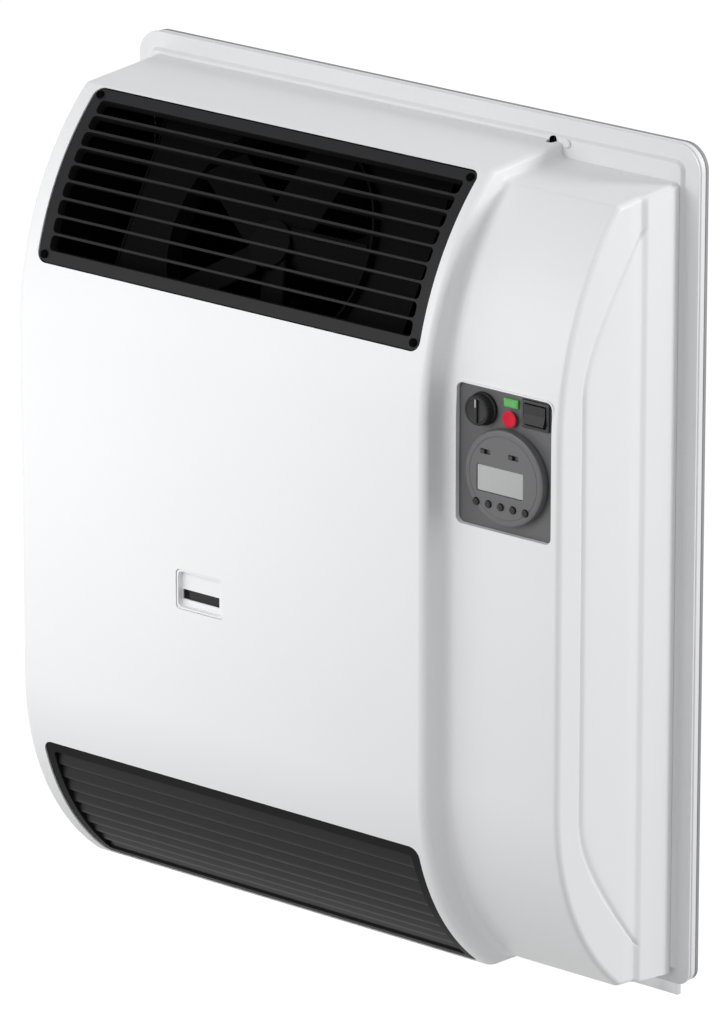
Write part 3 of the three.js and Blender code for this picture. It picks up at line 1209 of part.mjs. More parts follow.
function makeBurner() {
  const top = CHAMBER_BOTTOM - SEAT_GAP;
  const bar = box(
    BURNER_X - BURNER_WIDTH / 2, BURNER_X + BURNER_WIDTH / 2, BURNER_Y - BURNER_DEPTH / 2,
    BURNER_Y + BURNER_DEPTH / 2, top - BURNER_TALL / 2, top + BURNER_TALL / 2,
  );
  const flange = box(
    BURNER_X - BURNER_WIDTH / 2 - BURNER_FLANGE, BURNER_X + BURNER_WIDTH / 2 + BURNER_FLANGE,
    BURNER_Y - BURNER_DEPTH / 2 - BURNER_FLANGE, BURNER_Y + BURNER_DEPTH / 2 + BURNER_FLANGE,
    top - CHAMBER_SHEET, top,
  );
  const slots = Array.from({ length: BURNER_SLOTS }, (_, i) => {
    const x = BURNER_X + (i - (BURNER_SLOTS - 1) / 2) * (BURNER_WIDTH / (BURNER_SLOTS + 1));
    return blockAt(x, top + BURNER_TALL / 2, BURNER_SLOT_WIDTH, 2 * BURNER_SLOT_DEPTH,
      BURNER_Y - BURNER_DEPTH / 3, BURNER_Y + BURNER_DEPTH / 3);
  });
  addPiece('burner', cut(bar.add(flange), slots), STEEL);
}

function makeExchanger() {
  const z0 = CHAMBER_TOP + SEAT_GAP;
  const z1 = EXCHANGER_TOP;
  const core = box(
    CHAMBER_LEFT, CHAMBER_RIGHT, BURNER_Y - EXCHANGER_CORE / 2, BURNER_Y + EXCHANGER_CORE / 2,
    z0, z1,
  );
  const pitch = (CHAMBER_RIGHT - CHAMBER_LEFT - FIN_THICKNESS) / (EXCHANGER_FINS - 1);
  const fins = Array.from({ length: EXCHANGER_FINS }, (_, i) => {
    const x = CHAMBER_LEFT + i * pitch;
    return box(x, x + FIN_THICKNESS, -CHAMBER_FRONT, -CHAMBER_BACK, z0, z1);
  });
  addPiece('heat_exchanger', join([core, ...fins]), ZINC);
}

function sleeve(radius, y0, y1) {
  return barY(FLUE_X, FLUE_HEIGHT, radius, y0, y1)
    .subtract(barY(FLUE_X, FLUE_HEIGHT, radius - TUBE_WALL, y0 - 1, y1 + 1));
}

function makeFlue() {
  addPiece('flue_outlet_tube', sleeve(FLUE_RADIUS, FLUE_FRONT, 0), STEEL);
  addPiece('air_intake_tube', sleeve(AIR_RADIUS, FLUE_FRONT, 0), ZINC);
  const gasketFront = PLATE_SEAT - FLUE_GASKET_THICKNESS;
  addPiece('flue_gasket', barY(
    FLUE_X, FLUE_HEIGHT, AIR_RADIUS + FLUE_GASKET_WIDTH, gasketFront, PLATE_SEAT,
  ).subtract(barY(
    FLUE_X, FLUE_HEIGHT, AIR_RADIUS + SEAT_GAP, gasketFront - 1, 0,
  )), GREY_FOAM);
}

// A channel that stands on the wall plate and carries the chamber by its flank.
function chamberBracket(side) {
  const flank = side < 0 ? CHAMBER_LEFT - SEAT_GAP : CHAMBER_RIGHT + SEAT_GAP;
  const far = flank + side * BRACKET_WIDTH;
  const x0 = Math.min(flank, far);
  const x1 = Math.max(flank, far);
  const z0 = CHAMBER_BOTTOM + BRACKET_BOTTOM_MARGIN;
  const z1 = CHAMBER_TOP - BRACKET_TOP_MARGIN;
  const web = side < 0 ? [x1 - BRACKET_SHEET, x1] : [x0, x0 + BRACKET_SHEET];
  return join([
    box(web[0], web[1], -CHAMBER_FRONT + BRACKET_FRONT_MARGIN, PLATE_SEAT, z0, z1),
    box(x0, x1, PLATE_SEAT - BRACKET_SHEET, PLATE_SEAT, z0, z1),
  ]);
}

function makeBrackets() {
  addPiece('chamber_bracket_left', chamberBracket(-1), ZINC);
  addPiece('chamber_bracket_right', chamberBracket(1), ZINC);
}

function electrode(margin, reach) {
  const x = CHAMBER_RIGHT - margin;
  const front = -(CHAMBER_FRONT + CERAMIC_LENGTH / 2);
  const seat = -CHAMBER_FRONT - SEAT_GAP;
  return join([
    barY(x, ELECTRODE_HEIGHT, CERAMIC_RADIUS, front, front + CERAMIC_LENGTH, SMALL_SIDES),
    barY(x, ELECTRODE_HEIGHT, CERAMIC_RADIUS + CERAMIC_COLLAR, seat - CERAMIC_COLLAR, seat,
      SMALL_SIDES),
    barY(x, ELECTRODE_HEIGHT, ELECTRODE_RADIUS, front - ELECTRODE_TERMINAL,
      front + CERAMIC_LENGTH + reach, 8),
  ]);
}

function makeElectrodes() {
  addPiece('ignition_electrode', electrode(IGNITION_MARGIN, IGNITION_REACH), CERAMIC);
  addPiece('flame_sensor', electrode(SENSOR_MARGIN, SENSOR_REACH), CERAMIC);
}

// ---------------------------------------------------------------- gas line

function makeGasLine() {
  const valveTop = VALVE_BOTTOM + VALVE_TALL;
  const valveRear = VALVE_Y + VALVE_DEPTH / 2;
  const body = box(
    VALVE_X - VALVE_WIDTH / 2, VALVE_X + VALVE_WIDTH / 2, VALVE_Y - VALVE_DEPTH / 2, valveRear,
    VALVE_BOTTOM, valveTop,
  );
  const coil = barZ(VALVE_X + VALVE_COIL_SHIFT, VALVE_Y, VALVE_COIL_RADIUS, valveTop - 1,
    valveTop + VALVE_COIL_TALL);
  const cap = barZ(VALVE_X + VALVE_CAP_SHIFT, VALVE_Y - VALVE_CAP_SETFORWARD, VALVE_CAP_RADIUS,
    valveTop - 1, valveTop + VALVE_CAP_TALL, SMALL_SIDES);
  const foot = box(VALVE_X - VALVE_FOOT_WIDTH / 2, VALVE_X + VALVE_FOOT_WIDTH / 2,
    valveRear - 1, PLATE_SEAT, VALVE_BOTTOM + VALVE_FOOT_MARGIN, valveTop - VALVE_FOOT_MARGIN);
  addPiece('gas_valve', join([body, coil, cap, foot]), STEEL);

  const top = VALVE_BOTTOM - SEAT_GAP;
  const panelSeat = BOTTOM_PANEL_HEIGHT - SEAT_GAP;
  addPiece('gas_inlet_fitting', join([
    barZ(VALVE_X, INLET_Y, INLET_PIPE_RADIUS, INLET_BOTTOM, top, SMALL_SIDES),
    barZ(VALVE_X, INLET_Y, INLET_NUT_RADIUS, top - INLET_NUT_TALL, top, 6),
    barZ(VALVE_X, INLET_Y, INLET_NUT_RADIUS, panelSeat - INLET_LOCKNUT_TALL, panelSeat, 6),
  ]).subtract(barZ(VALVE_X, INLET_Y, INLET_PIPE_RADIUS - INLET_WALL, INLET_BOTTOM - 1,
    top - INLET_BLIND, SMALL_SIDES)), BRASS);

  const start = VALVE_X - VALVE_WIDTH / 2 - SEAT_GAP;
  const port = VALVE_BOTTOM + VALVE_PORT_HEIGHT;
  const burnerEnd = BURNER_X + BURNER_WIDTH / 2 + SEAT_GAP;
  const height = CHAMBER_BOTTOM - MANIFOLD_DROP;
  addPiece('gas_manifold', pipe([
    [start, VALVE_Y, port], [start - 2 * GAS_PIPE_RADIUS, VALVE_Y, port],
    [(start + burnerEnd) / 2, (VALVE_Y + BURNER_Y) / 2, (port + height) / 2],
    [burnerEnd + MANIFOLD_LEAD, BURNER_Y, height], [burnerEnd, BURNER_Y, height],
  ], GAS_PIPE_RADIUS, 20), BRASS);
}

// ---------------------------------------------------------------- fan

// The fan is built about +Z, which then tips to face forward and up.
function placeFan(solid) {
  return toSolid(toGeometry(solid)
    .rotateX(radians(90 - FAN_TILT)).translate(FAN_X, -FAN_DEPTH, FAN_HEIGHT));
}

const fanBar = (radius, z0, z1, sides) => barZ(0, 0, radius, z0, z1, sides);

function makeFan() {
  const halfHub = FAN_HUB_LENGTH / 2;
  const boreEnd = halfHub - FAN_HUB_FLOOR;
  const bore = fanBar(MOTOR_SHAFT_RADIUS + SEAT_GAP, -halfHub - 1, boreEnd, SMALL_SIDES);
  const blades = Array.from({ length: FAN_BLADES }, (_, i) => {
    const start = FAN_HUB_RADIUS - FAN_BLADE_ROOT;
    const geometry = new THREE.BoxGeometry(FAN_RADIUS - start, FAN_BLADE_WIDTH,
      FAN_BLADE_THICKNESS);
    geometry.rotateX(radians(FAN_BLADE_PITCH));
    geometry.translate((FAN_RADIUS + start) / 2, 0, 0);
    geometry.rotateZ((i / FAN_BLADES) * 2 * Math.PI);
    return toSolid(geometry);
  });
  const wheel = join([fanBar(FAN_HUB_RADIUS, -halfHub, halfHub), ...blades])
    .intersect(fanBar(FAN_RADIUS, -FAN_RADIUS, FAN_RADIUS, 48)).subtract(bore);
  addPiece('fan_impeller', placeFan(wheel), BLACK_PLASTIC);

  const shaftBack = MOTOR_FRONT - MOTOR_BORE_DEPTH;
  addPiece('fan_shaft', placeFan(
    fanBar(MOTOR_SHAFT_RADIUS, shaftBack, boreEnd - SEAT_GAP, SMALL_SIDES),
  ), STEEL);
  addPiece('fan_motor', placeFan(
    fanBar(MOTOR_RADIUS, MOTOR_BACK, MOTOR_FRONT).subtract(fanBar(
      MOTOR_SHAFT_RADIUS + RUNNING_GAP, shaftBack - RUNNING_GAP, MOTOR_FRONT + 1, SMALL_SIDES,
    )),
  ), STEEL);

  const ring = fanBar(FAN_RING_OUTSIDE, -FAN_RING_LENGTH / 2, FAN_RING_LENGTH / 2, 48);
  const plate = toSolid(new THREE.BoxGeometry(SHROUD_WIDTH, SHROUD_TALL, SHROUD_SHEET));
  addPiece('fan_shroud', placeFan(
    ring.add(plate).subtract(fanBar(FAN_RING_INSIDE, -FAN_RADIUS, FAN_RADIUS, 48)),
  ), BLACK_STEEL);

  const foot = -SHROUD_SHEET / 2 - SEAT_GAP;
  const arms = Array.from({ length: SPIDER_ARMS }, (_, i) => {
    const length = SPIDER_REACH + SPIDER_SHEET;
    const arm = new THREE.BoxGeometry(length, SPIDER_ARM_WIDTH, SPIDER_SHEET)
      .translate(length / 2, 0, (SPIDER_FRONT + SPIDER_BACK) / 2);
    const leg = new THREE.BoxGeometry(SPIDER_SHEET, SPIDER_ARM_WIDTH, foot - SPIDER_BACK)
      .translate(SPIDER_REACH + SPIDER_SHEET / 2, 0, (foot + SPIDER_BACK) / 2);
    const turn = ((i + 0.25) / SPIDER_ARMS) * 2 * Math.PI;
    return toSolid(arm.rotateZ(turn)).add(toSolid(leg.rotateZ(turn)));
  });
  addPiece('fan_bracket', placeFan(
    join([fanBar(MOTOR_RADIUS, SPIDER_BACK, SPIDER_FRONT), ...arms]),
  ), ZINC);
}

// A place in the fan's own section: along the shroud plate, and forward of it.
const fanPoint = (along, forward) => point(
  -FAN_DEPTH + along * sine(FAN_TILT) - forward * cosine(FAN_TILT),
  FAN_HEIGHT + along * cosine(FAN_TILT) + forward * sine(FAN_TILT),
);

// A side plate that stands on the wall plate and carries one end of the shroud.
function fanMount(side) {
  const flank = FAN_X + side * (SHROUD_WIDTH / 2 + SEAT_GAP);
  const far = flank + side * BRACKET_SHEET;
  const foot = flank + side * FAN_MOUNT_FOOT;
  const middle = FAN_HEIGHT + FAN_MOUNT_RISE;
  const bottom = middle - FAN_MOUNT_TALL / 2;
  const top = middle + FAN_MOUNT_TALL / 2;
  const reach = SHROUD_TALL / 2;
  const outline = new THREE.Shape([
    fanPoint(-reach, -FAN_MOUNT_OVERLAP), fanPoint(-reach, SHROUD_SHEET),
    fanPoint(reach, SHROUD_SHEET), point(PLATE_SEAT, top), point(PLATE_SEAT, bottom),
  ]);
  return join([
    plateX(outline, Math.min(flank, far), Math.max(flank, far)),
    box(Math.min(flank, foot), Math.max(flank, foot), PLATE_SEAT - BRACKET_SHEET, PLATE_SEAT,
      bottom, top),
  ]);
}

function makeFanMounts() {
  addPiece('fan_mount_left', fanMount(-1), ZINC);
  addPiece('fan_mount_right', fanMount(1), ZINC);
}

// ---------------------------------------------------------------- electronics

function makeElectronics() {
  const front = PLATE_SEAT - BOX_DEPTH;
  const tray = box(BOX_LEFT, BOX_RIGHT, front, PLATE_SEAT, BOX_BOTTOM, BOX_TOP);
  addPiece('control_box', tray.subtract(box(
    BOX_LEFT + BOX_WALL, BOX_RIGHT - BOX_WALL, front - 1, PLATE_SEAT - BOX_WALL,
    BOX_BOTTOM + BOX_WALL, BOX_TOP - BOX_WALL,
  )), ZINC);

  const floor = PLATE_SEAT - BOX_WALL;
  const boardBack = floor - BOARD_STANDOFF;
  const boardFront = boardBack - BOARD_THICKNESS;
  const x0 = BOX_LEFT + BOARD_MARGIN;
  const x1 = BOX_RIGHT - BOARD_MARGIN;
  const z0 = BOX_BOTTOM + BOARD_MARGIN;
  const z1 = BOX_TOP - BOARD_MARGIN;
  const standoffs = [x0 + STANDOFF_INSET, x1 - STANDOFF_INSET].flatMap((x) =>
    [z0 + STANDOFF_INSET, z1 - STANDOFF_INSET].map((z) =>
      barY(x, z, STANDOFF_RADIUS, boardBack - 1, floor - SEAT_GAP, SMALL_SIDES)));
  const relayTop = z1 - 2 * COMPONENT_MARGIN;
  const relay = box(x0 + COMPONENT_MARGIN, x0 + COMPONENT_MARGIN + RELAY_WIDTH,
    boardFront - RELAY_DEPTH, boardFront + BOARD_THICKNESS / 2, relayTop - RELAY_TALL, relayTop);
  const transformer = box(x1 - COMPONENT_MARGIN - TRANSFORMER_WIDTH, x1 - COMPONENT_MARGIN,
    boardFront - TRANSFORMER_DEPTH, boardFront + BOARD_THICKNESS / 2,
    relayTop - TRANSFORMER_TALL, relayTop);
  addPiece('control_board', join([
    box(x0, x1, boardFront, boardBack, z0, z1), ...standoffs, relay, transformer,
  ]), BOARD_GREEN);

  const width = TERMINAL_WAYS * TERMINAL_PITCH;
  const middle = (x0 + x1) / 2;
  const height = z0 + TERMINAL_MARGIN + TERMINAL_TALL / 2;
  const seat = boardFront - SEAT_GAP;
  const face = seat - TERMINAL_DEPTH;
  const screwHoles = Array.from({ length: TERMINAL_WAYS }, (_, i) => barY(
    middle - width / 2 + (i + 0.5) * TERMINAL_PITCH, height, TERMINAL_HOLE_RADIUS,
    face - 1, face + TERMINAL_HOLE_DEPTH, 8,
  ));
  addPiece('terminal_block', cut(blockAt(
    middle, height, width, TERMINAL_TALL, face, seat,
  ), screwHoles), PANEL_PLASTIC);
}

function makeCableGland() {
  const seat = BOTTOM_PANEL_HEIGHT - SEAT_GAP;
  const body = join([
    barZ(GLAND_X, -GLAND_DEPTH, GLAND_RADIUS, seat - GLAND_NUT_TALL, seat, 6),
    barZ(GLAND_X, -GLAND_DEPTH, GLAND_NECK_RADIUS, seat - GLAND_NUT_TALL / 2,
      seat + GLAND_NECK_TALL, SMALL_SIDES),
  ]);
  const bore = barZ(GLAND_X, -GLAND_DEPTH, GLAND_BORE, 0, 3 * BOTTOM_PANEL_HEIGHT, SMALL_SIDES);
  addPiece('cable_gland', body.subtract(bore), BLACK_PLASTIC);
}

// ---------------------------------------------------------------- assembly

makeWallGasket();
makeWallFrame();
makeTrimFrame();
makeWallPlate();
makeFrontCasing();
makeBottomPanel();
makeIntakeGrille();
makeOutletGrille();
makeScrews();
makeSightWindow();
makeControlPlate();
makeThermostat();
makeThermostatProbe();
makeLampAndReset();
makeRocker();
makeTimer();
makeChamber();
makeBurner();
makeExchanger();
makeFlue();
makeBrackets();
makeElectrodes();
makeGasLine();
makeFan();
makeFanMounts();
makeElectronics();
makeCableGland();

export default heater;
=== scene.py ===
"""Looks of the wall mounted gas heater. Lengths are in millimetres until a mesh is made."""
import json
import math

import bmesh
import bpy
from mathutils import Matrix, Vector


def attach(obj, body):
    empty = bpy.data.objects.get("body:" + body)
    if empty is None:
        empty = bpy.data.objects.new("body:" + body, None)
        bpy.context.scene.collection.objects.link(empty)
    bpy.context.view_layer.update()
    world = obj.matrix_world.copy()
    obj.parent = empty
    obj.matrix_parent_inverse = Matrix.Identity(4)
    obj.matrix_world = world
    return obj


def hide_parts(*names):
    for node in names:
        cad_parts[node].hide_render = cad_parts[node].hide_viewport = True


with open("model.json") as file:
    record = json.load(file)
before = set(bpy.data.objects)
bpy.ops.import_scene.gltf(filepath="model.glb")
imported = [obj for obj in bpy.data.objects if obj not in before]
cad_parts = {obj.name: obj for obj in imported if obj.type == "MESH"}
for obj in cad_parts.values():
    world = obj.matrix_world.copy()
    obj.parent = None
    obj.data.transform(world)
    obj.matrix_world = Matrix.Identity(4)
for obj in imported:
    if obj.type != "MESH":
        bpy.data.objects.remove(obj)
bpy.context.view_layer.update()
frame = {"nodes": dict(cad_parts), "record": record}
NODES = frame["nodes"]
SCENE = bpy.context.scene
MM = 0.001


def sine(degrees):
    return math.sin(math.radians(degrees))


def cosine(degrees):
    return math.cos(math.radians(degrees))


def mix(a, b, share):
    return a + (b - a) * share


# ------------------------------------------------------------------ sizes, as in the CAD

HALF_FRAME = 291
FRAME_HEIGHT = 700
TRIM_BACK, FLANGE_FRONT, TRIM_FRONT = -12.0, -14.0, -18.0
CASING_BACK = -18.3
HALF_CASING = 272.5
DEPTH, WING_DEPTH = 188, 162
SHEET = 1.6
STEP_X = 158
RELIEF_X = 148.5
BULGE = dict(depth=DEPTH, top=48.5, bottom=53.5, roof=682)
WING = dict(depth=WING_DEPTH, top=44.9, bottom=51.2, roof=669.5)
TOP_RADIUS, BOTTOM_RADIUS = 250, 217
TOP_START = 682 - 5.8 - TOP_RADIUS * sine(48.5)
FLOOR = 7.5
BOTTOM_START = FLOOR + 3.1 + BOTTOM_RADIUS * sine(53.5)
GRILLE_LEFT, GRILLE_RIGHT = -255, 146.5
INTAKE = dict(sign=1, radius=TOP_RADIUS, start=TOP_START, low=12.7, high=48, border=11)
OUTLET = dict(sign=-1, radius=BOTTOM_RADIUS, start=BOTTOM_START, low=14.1, high=52.9, border=9)
PANEL = (168.3, 263.8, 405.5, 521)
PLATE_FACE = -157.2
PLATE_BACK = -154.7
KNOB = (193.1, 502.7)
LAMP = (220.6, 512.2)
RESET = (220.8, 499.6)
ROCKER = (245.1, 506.8)
TIMER = (218.8, 451.8)
TIMER_FACE = PLATE_FACE - 8
DISPLAY = (215.2, 448.5)
SIGHT = (-77, 299)

# ------------------------------------------------------------------ materials

COAT_ROUGHNESS = 0.12
GLOSS_SPREAD = 0.05
GRAIN_DEPTH = 0.2 * MM


def material(name, color, roughness, metallic=0.0, tone=0.03, tone_scale=9.0, bump=0.1,
             bump_scale=900.0, specular=0.5, coat=0.0):
    """A paint, plastic or metal with fine grain and slightly uneven tone and gloss."""
    made = bpy.data.materials.new(name)
    made.use_nodes = True
    nodes, links = made.node_tree.nodes, made.node_tree.links
    shader = nodes["Principled BSDF"]
    shader.inputs["Metallic"].default_value = metallic
    shader.inputs["Specular IOR Level"].default_value = specular
    shader.inputs["Coat Weight"].default_value = coat
    shader.inputs["Coat Roughness"].default_value = COAT_ROUGHNESS
    spot = nodes.new("ShaderNodeTexCoord").outputs["Object"]

    def noise(scale, detail):
        texture = nodes.new("ShaderNodeTexNoise")
        texture.inputs["Scale"].default_value = scale
        texture.inputs["Detail"].default_value = detail
        links.new(spot, texture.inputs["Vector"])
        return texture.outputs["Fac"]

    broad = noise(tone_scale, 3)
    ramp = nodes.new("ShaderNodeValToRGB")
    ramp.color_ramp.elements[0].position = 0.3
    ramp.color_ramp.elements[1].position = 0.7
    ramp.color_ramp.elements[0].color = (*[c * (1 - tone) for c in color], 1)
    ramp.color_ramp.elements[1].color = (*[min(c * (1 + tone), 1) for c in color], 1)
    links.new(broad, ramp.inputs["Fac"])
    links.new(ramp.outputs["Color"], shader.inputs["Base Color"])

    rough = nodes.new("ShaderNodeMapRange")
    rough.inputs["To Min"].default_value = max(roughness - GLOSS_SPREAD, 0.02)
    rough.inputs["To Max"].default_value = min(roughness + GLOSS_SPREAD, 1)
    links.new(noise(tone_scale * 4, 4), rough.inputs["Value"])
    links.new(rough.outputs["Result"], shader.inputs["Roughness"])

    grain = nodes.new("ShaderNodeBump")
    grain.inputs["Strength"].default_value = bump
    grain.inputs["Distance"].default_value = GRAIN_DEPTH
    links.new(noise(bump_scale, 2), grain.inputs["Height"])
    links.new(grain.outputs["Normal"], shader.inputs["Normal"])
    return made


WHITE = material("white_enamel", (0.84, 0.84, 0.845), 0.42, tone=0.006, bump=0.05, bump_scale=420)
FRAME_WHITE = material("frame_enamel", (0.8, 0.8, 0.805), 0.45, tone=0.01, bump=0.06,
                       bump_scale=420)
GRILLE = material("grille_plastic", (0.01, 0.01, 0.011), 0.5, bump=0.2, bump_scale=1400,
                  specular=0.2)
LOUVRE = material("louvre_plastic", (0.0125, 0.0125, 0.0135), 0.42, bump=0.2, bump_scale=1400,
                  specular=0.22)
OUTLET_BLACK = material("outlet_plastic", (0.004, 0.004, 0.0045), 0.55, bump=0.2, bump_scale=1400,
                        specular=0.12)
BLACK_STEEL = material("black_steel", (0.004, 0.004, 0.004), 0.75, tone=0.15, bump=0.2,
                       specular=0)
# The fan's own black plastic, which also serves as painted shade on the fan's mounts, bracket and
# shroud inside the casing.
FAN_BLACK_AND_SHADE = material("fan_plastic_and_shade", (0.01, 0.01, 0.01), 0.8, bump=0.1, specular=0)
# Near-black painted shade for the faces inside the casing and in the frames' notch, where the
# casing's own shadow falls.
INSIDE_PAINTED_SHADE = material("inner_painted_shade", (0.008, 0.008, 0.008), 0.85, tone=0.1, bump=0.2, specular=0)
ZINC = material("zinc", (0.52, 0.53, 0.54), 0.38, metallic=1, tone=0.12, tone_scale=60, bump=0.12,
                bump_scale=240)
STEEL = material("steel", (0.33, 0.33, 0.34), 0.42, metallic=1, tone=0.15, tone_scale=25, bump=0.1)
BRASS = material("brass", (0.62, 0.45, 0.2), 0.28, metallic=1, tone=0.08, tone_scale=40, bump=0.05)
RUBBER = material("rubber", (0.33, 0.33, 0.34), 0.9, tone=0.06, bump=0.6, bump_scale=700,
                  specular=0.2)
PANEL_GREY = material("panel_plastic", (0.112, 0.112, 0.115), 0.5, bump=0.3, bump_scale=1500)
TIMER_GREY = material("timer_plastic", (0.124, 0.124, 0.127), 0.5, bump=0.25, bump_scale=1500)
BLACK = material("black_plastic", (0.012, 0.012, 0.013), 0.36, bump=0.15, bump_scale=1500)
KEY_BLACK = material("key_plastic", (0.01, 0.01, 0.011), 0.45, bump=0.1, bump_scale=1500,
                     specular=0.35)
DISPLAY_GREY = material("display_glass", (0.385, 0.39, 0.385), 0.25, tone=0.015, bump=0.0, coat=0.6)
GREEN = material("green_lens", (0.055, 0.36, 0.05), 0.2, tone=0.1, tone_scale=90, bump=0.0,
                 coat=0.3)
RED = material("red_cap", (0.66, 0.008, 0.035), 0.4, tone=0.05, bump=0.05, specular=0.15)
DARK_GLASS = material("sight_glass", (0.008, 0.008, 0.009), 0.12, bump=0.0, specular=0.15)
CERAMIC = material("ceramic", (0.8, 0.77, 0.7), 0.2, tone=0.03, bump=0.05)
BOARD = material("circuit_board", (0.02, 0.14, 0.05), 0.4, tone=0.25, tone_scale=180, bump=0.1)
MARK_WHITE = material("printed_mark", (0.6, 0.6, 0.6), 0.5, bump=0.0)

CARRIED_OVER = {
    "white_enamel": WHITE, "frame_enamel": FRAME_WHITE, "black_steel": BLACK_STEEL, "zinc": ZINC,
    "steel": STEEL, "brass": BRASS, "grille_plastic": GRILLE, "black_plastic": BLACK,
    "panel_plastic": PANEL_GREY, "timer_plastic": TIMER_GREY, "display_glass": DISPLAY_GREY,
    "green_lens": GREEN, "red_cap": RED, "rubber": RUBBER, "sight_glass": DARK_GLASS,
    "ceramic": CERAMIC, "circuit_board": BOARD,
}
for subpart in frame["record"]["subparts"]:
    data = NODES[subpart["node"]].data
    data.materials.clear()
    data.materials.append(CARRIED_OVER[subpart["material_slot"]])

# The fan keeps its black plastic. The mounts, bracket and shroud get the same near-black as painted
# shade, since they lie in the casing's shadow.
for name in ("fan_impeller", "fan_shroud", "fan_motor", "fan_bracket", "fan_mount_left",
             "fan_mount_right"):
    NODES[name].data.materials[0] = FAN_BLACK_AND_SHADE
NODES["rocker_key"].data.materials[0] = KEY_BLACK
NODES["casing_screw"].data.materials[0] = FRAME_WHITE

# The wall plate carries near-black painted shade in front of the first limit (y) and above the
# second one (z).
SHADE_FRONT, SHADE_LOW = -3.8, 20


def shaded_plate_paint(metal):
    """The same metal with near-black painted shade on the wall plate's face inside the casing,
    where the casing's shadow falls.
    """
    made = metal.copy()
    made.name = "painted_shade_on_" + metal.name
    nodes, links = made.node_tree.nodes, made.node_tree.links
    spot = nodes.new("ShaderNodeSeparateXYZ")
    links.new(nodes.new("ShaderNodeTexCoord").outputs["Object"], spot.inputs[0])
    shade_mask = nodes.new("ShaderNodeMath")
    shade_mask.operation = "MULTIPLY"
    limits = (("Y", "LESS_THAN", SHADE_FRONT), ("Z", "GREATER_THAN", SHADE_LOW))
    for socket, (axis, operation, limit) in zip(shade_mask.inputs, limits):
        test = nodes.new("ShaderNodeMath")
        test.operation = operation
        test.inputs[1].default_value = limit * MM
        links.new(spot.outputs[axis], test.inputs[0])
        links.new(test.outputs[0], socket)
    # This near-black is painted shade: it stands for the shade inside the casing.
    paint = nodes.new("ShaderNodeBsdfPrincipled")
    paint.inputs["Base Color"].default_value = (0.004, 0.004, 0.004, 1)
    paint.inputs["Roughness"].default_value = 0.8
    paint.inputs["Specular IOR Level"].default_value = 0
    blend = nodes.new("ShaderNodeMixShader")
    links.new(shade_mask.outputs[0], blend.inputs["Fac"])
    links.new(nodes["Principled BSDF"].outputs[0], blend.inputs[1])
    links.new(paint.outputs[0], blend.inputs[2])
    links.new(blend.outputs[0], nodes["Material Output"].inputs["Surface"])
    return made


NODES["wall_plate"].data.materials[0] = shaded_plate_paint(ZINC)

# ------------------------------------------------------------------ meshes


def make(name, points, faces, finish):
    """A new object from points in millimetres."""
    data = bpy.data.meshes.new(name)
    data.from_pydata([Vector(p) * MM for p in points], [], faces)
    data.validate()
    work = bmesh.new()
    work.from_mesh(data)
    bmesh.ops.remove_doubles(work, verts=work.verts, dist=0.001 * MM)
    bmesh.ops.recalc_face_normals(work, faces=work.faces)
    work.to_mesh(data)
    work.free()
    obj = bpy.data.objects.new(name, data)
    SCENE.collection.objects.link(obj)
    data.materials.append(finish)
    return obj


def apply(obj):
    """Turns the object's modifiers into its mesh."""
    bpy.context.view_layer.update()
    ready = obj.evaluated_get(bpy.context.evaluated_depsgraph_get())
    data = bpy.data.meshes.new_from_object(ready)
    obj.modifiers.clear()
    old = obj.data
    obj.data = data
    bpy.data.meshes.remove(old)


def carve(obj, *tools, operation="DIFFERENCE", faces="INDEX"):
    """Cuts the tools out of the object, or joins them on, and deletes them."""
    for tool in tools:
        step = obj.modifiers.new("cut", "BOOLEAN")
        step.operation = operation
        step.solver = "MANIFOLD"
        step.material_mode = faces
        step.object = tool
        apply(obj)
        bpy.data.objects.remove(tool)
    return obj


def bevel(obj, width, angle=33, segments=3):
    step = obj.modifiers.new("bevel", "BEVEL")
    step.width = width * MM
    step.segments = segments
    step.limit_method = "ANGLE"
    step.angle_limit = math.radians(angle)
    step.use_clamp_overlap = True
    apply(obj)
    return obj


def place(obj, body, slot, *nodes, smooth=32):
    """Shades the piece, lets it ride on a body and stand for its CAD nodes."""
    obj.data.shade_smooth()
    obj.data.set_sharp_from_angle(angle=math.radians(smooth))
    even = obj.modifiers.new("even", "WEIGHTED_NORMAL")
    even.keep_sharp = True
    even.weight = 100
    apply(obj)
    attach(obj, body)
    if nodes:
        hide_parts(*nodes)
    return obj


def loft(name, loops, finish, ring=False):
    """A closed form through equal loops of points: a ring, or a body with both ends capped."""
    size = len(loops[0])
    points = [p for loop in loops for p in loop]
    faces = []
    count = len(loops)
    for i in range(count if ring else count - 1):
        a, b = i * size, ((i + 1) % count) * size
        for k in range(size):
            n = (k + 1) % size
            faces.append((a + k, a + n, b + n, b + k))
    if not ring:
        faces.append(tuple(range(size))[::-1])
        faces.append(tuple(range((count - 1) * size, count * size)))
    return make(name, points, faces, finish)


def rounded(x0, x1, z0, z1, top, bottom=None, steps=8):
    """The points of a rounded rectangle, counterclockwise from its lower right corner."""
    bottom = top if bottom is None else bottom
    out = []
    for cx, cz, radius, turn in (
        (x1 - bottom, z0 + bottom, bottom, -90), (x1 - top, z1 - top, top, 0),
        (x0 + top, z1 - top, top, 90), (x0 + bottom, z0 + bottom, bottom, 180),
    ):
        for i in range(steps + 1):
            angle = turn + 90 * i / steps
            out.append((cx + radius * cosine(angle), cz + radius * sine(angle)))
    return out


def at_y(outline, y):
    return [(x, y, z) for x, z in outline]


def block(name, x0, x1, y0, y1, z0, z1, finish, radius=0.0, steps=6):
    """A block seen from the front, with rounded corners there if asked."""
    outline = rounded(x0, x1, z0, z1, max(radius, 0.02), steps=steps if radius else 1)
    return loft(name, [at_y(outline, y1), at_y(outline, y0)], finish)


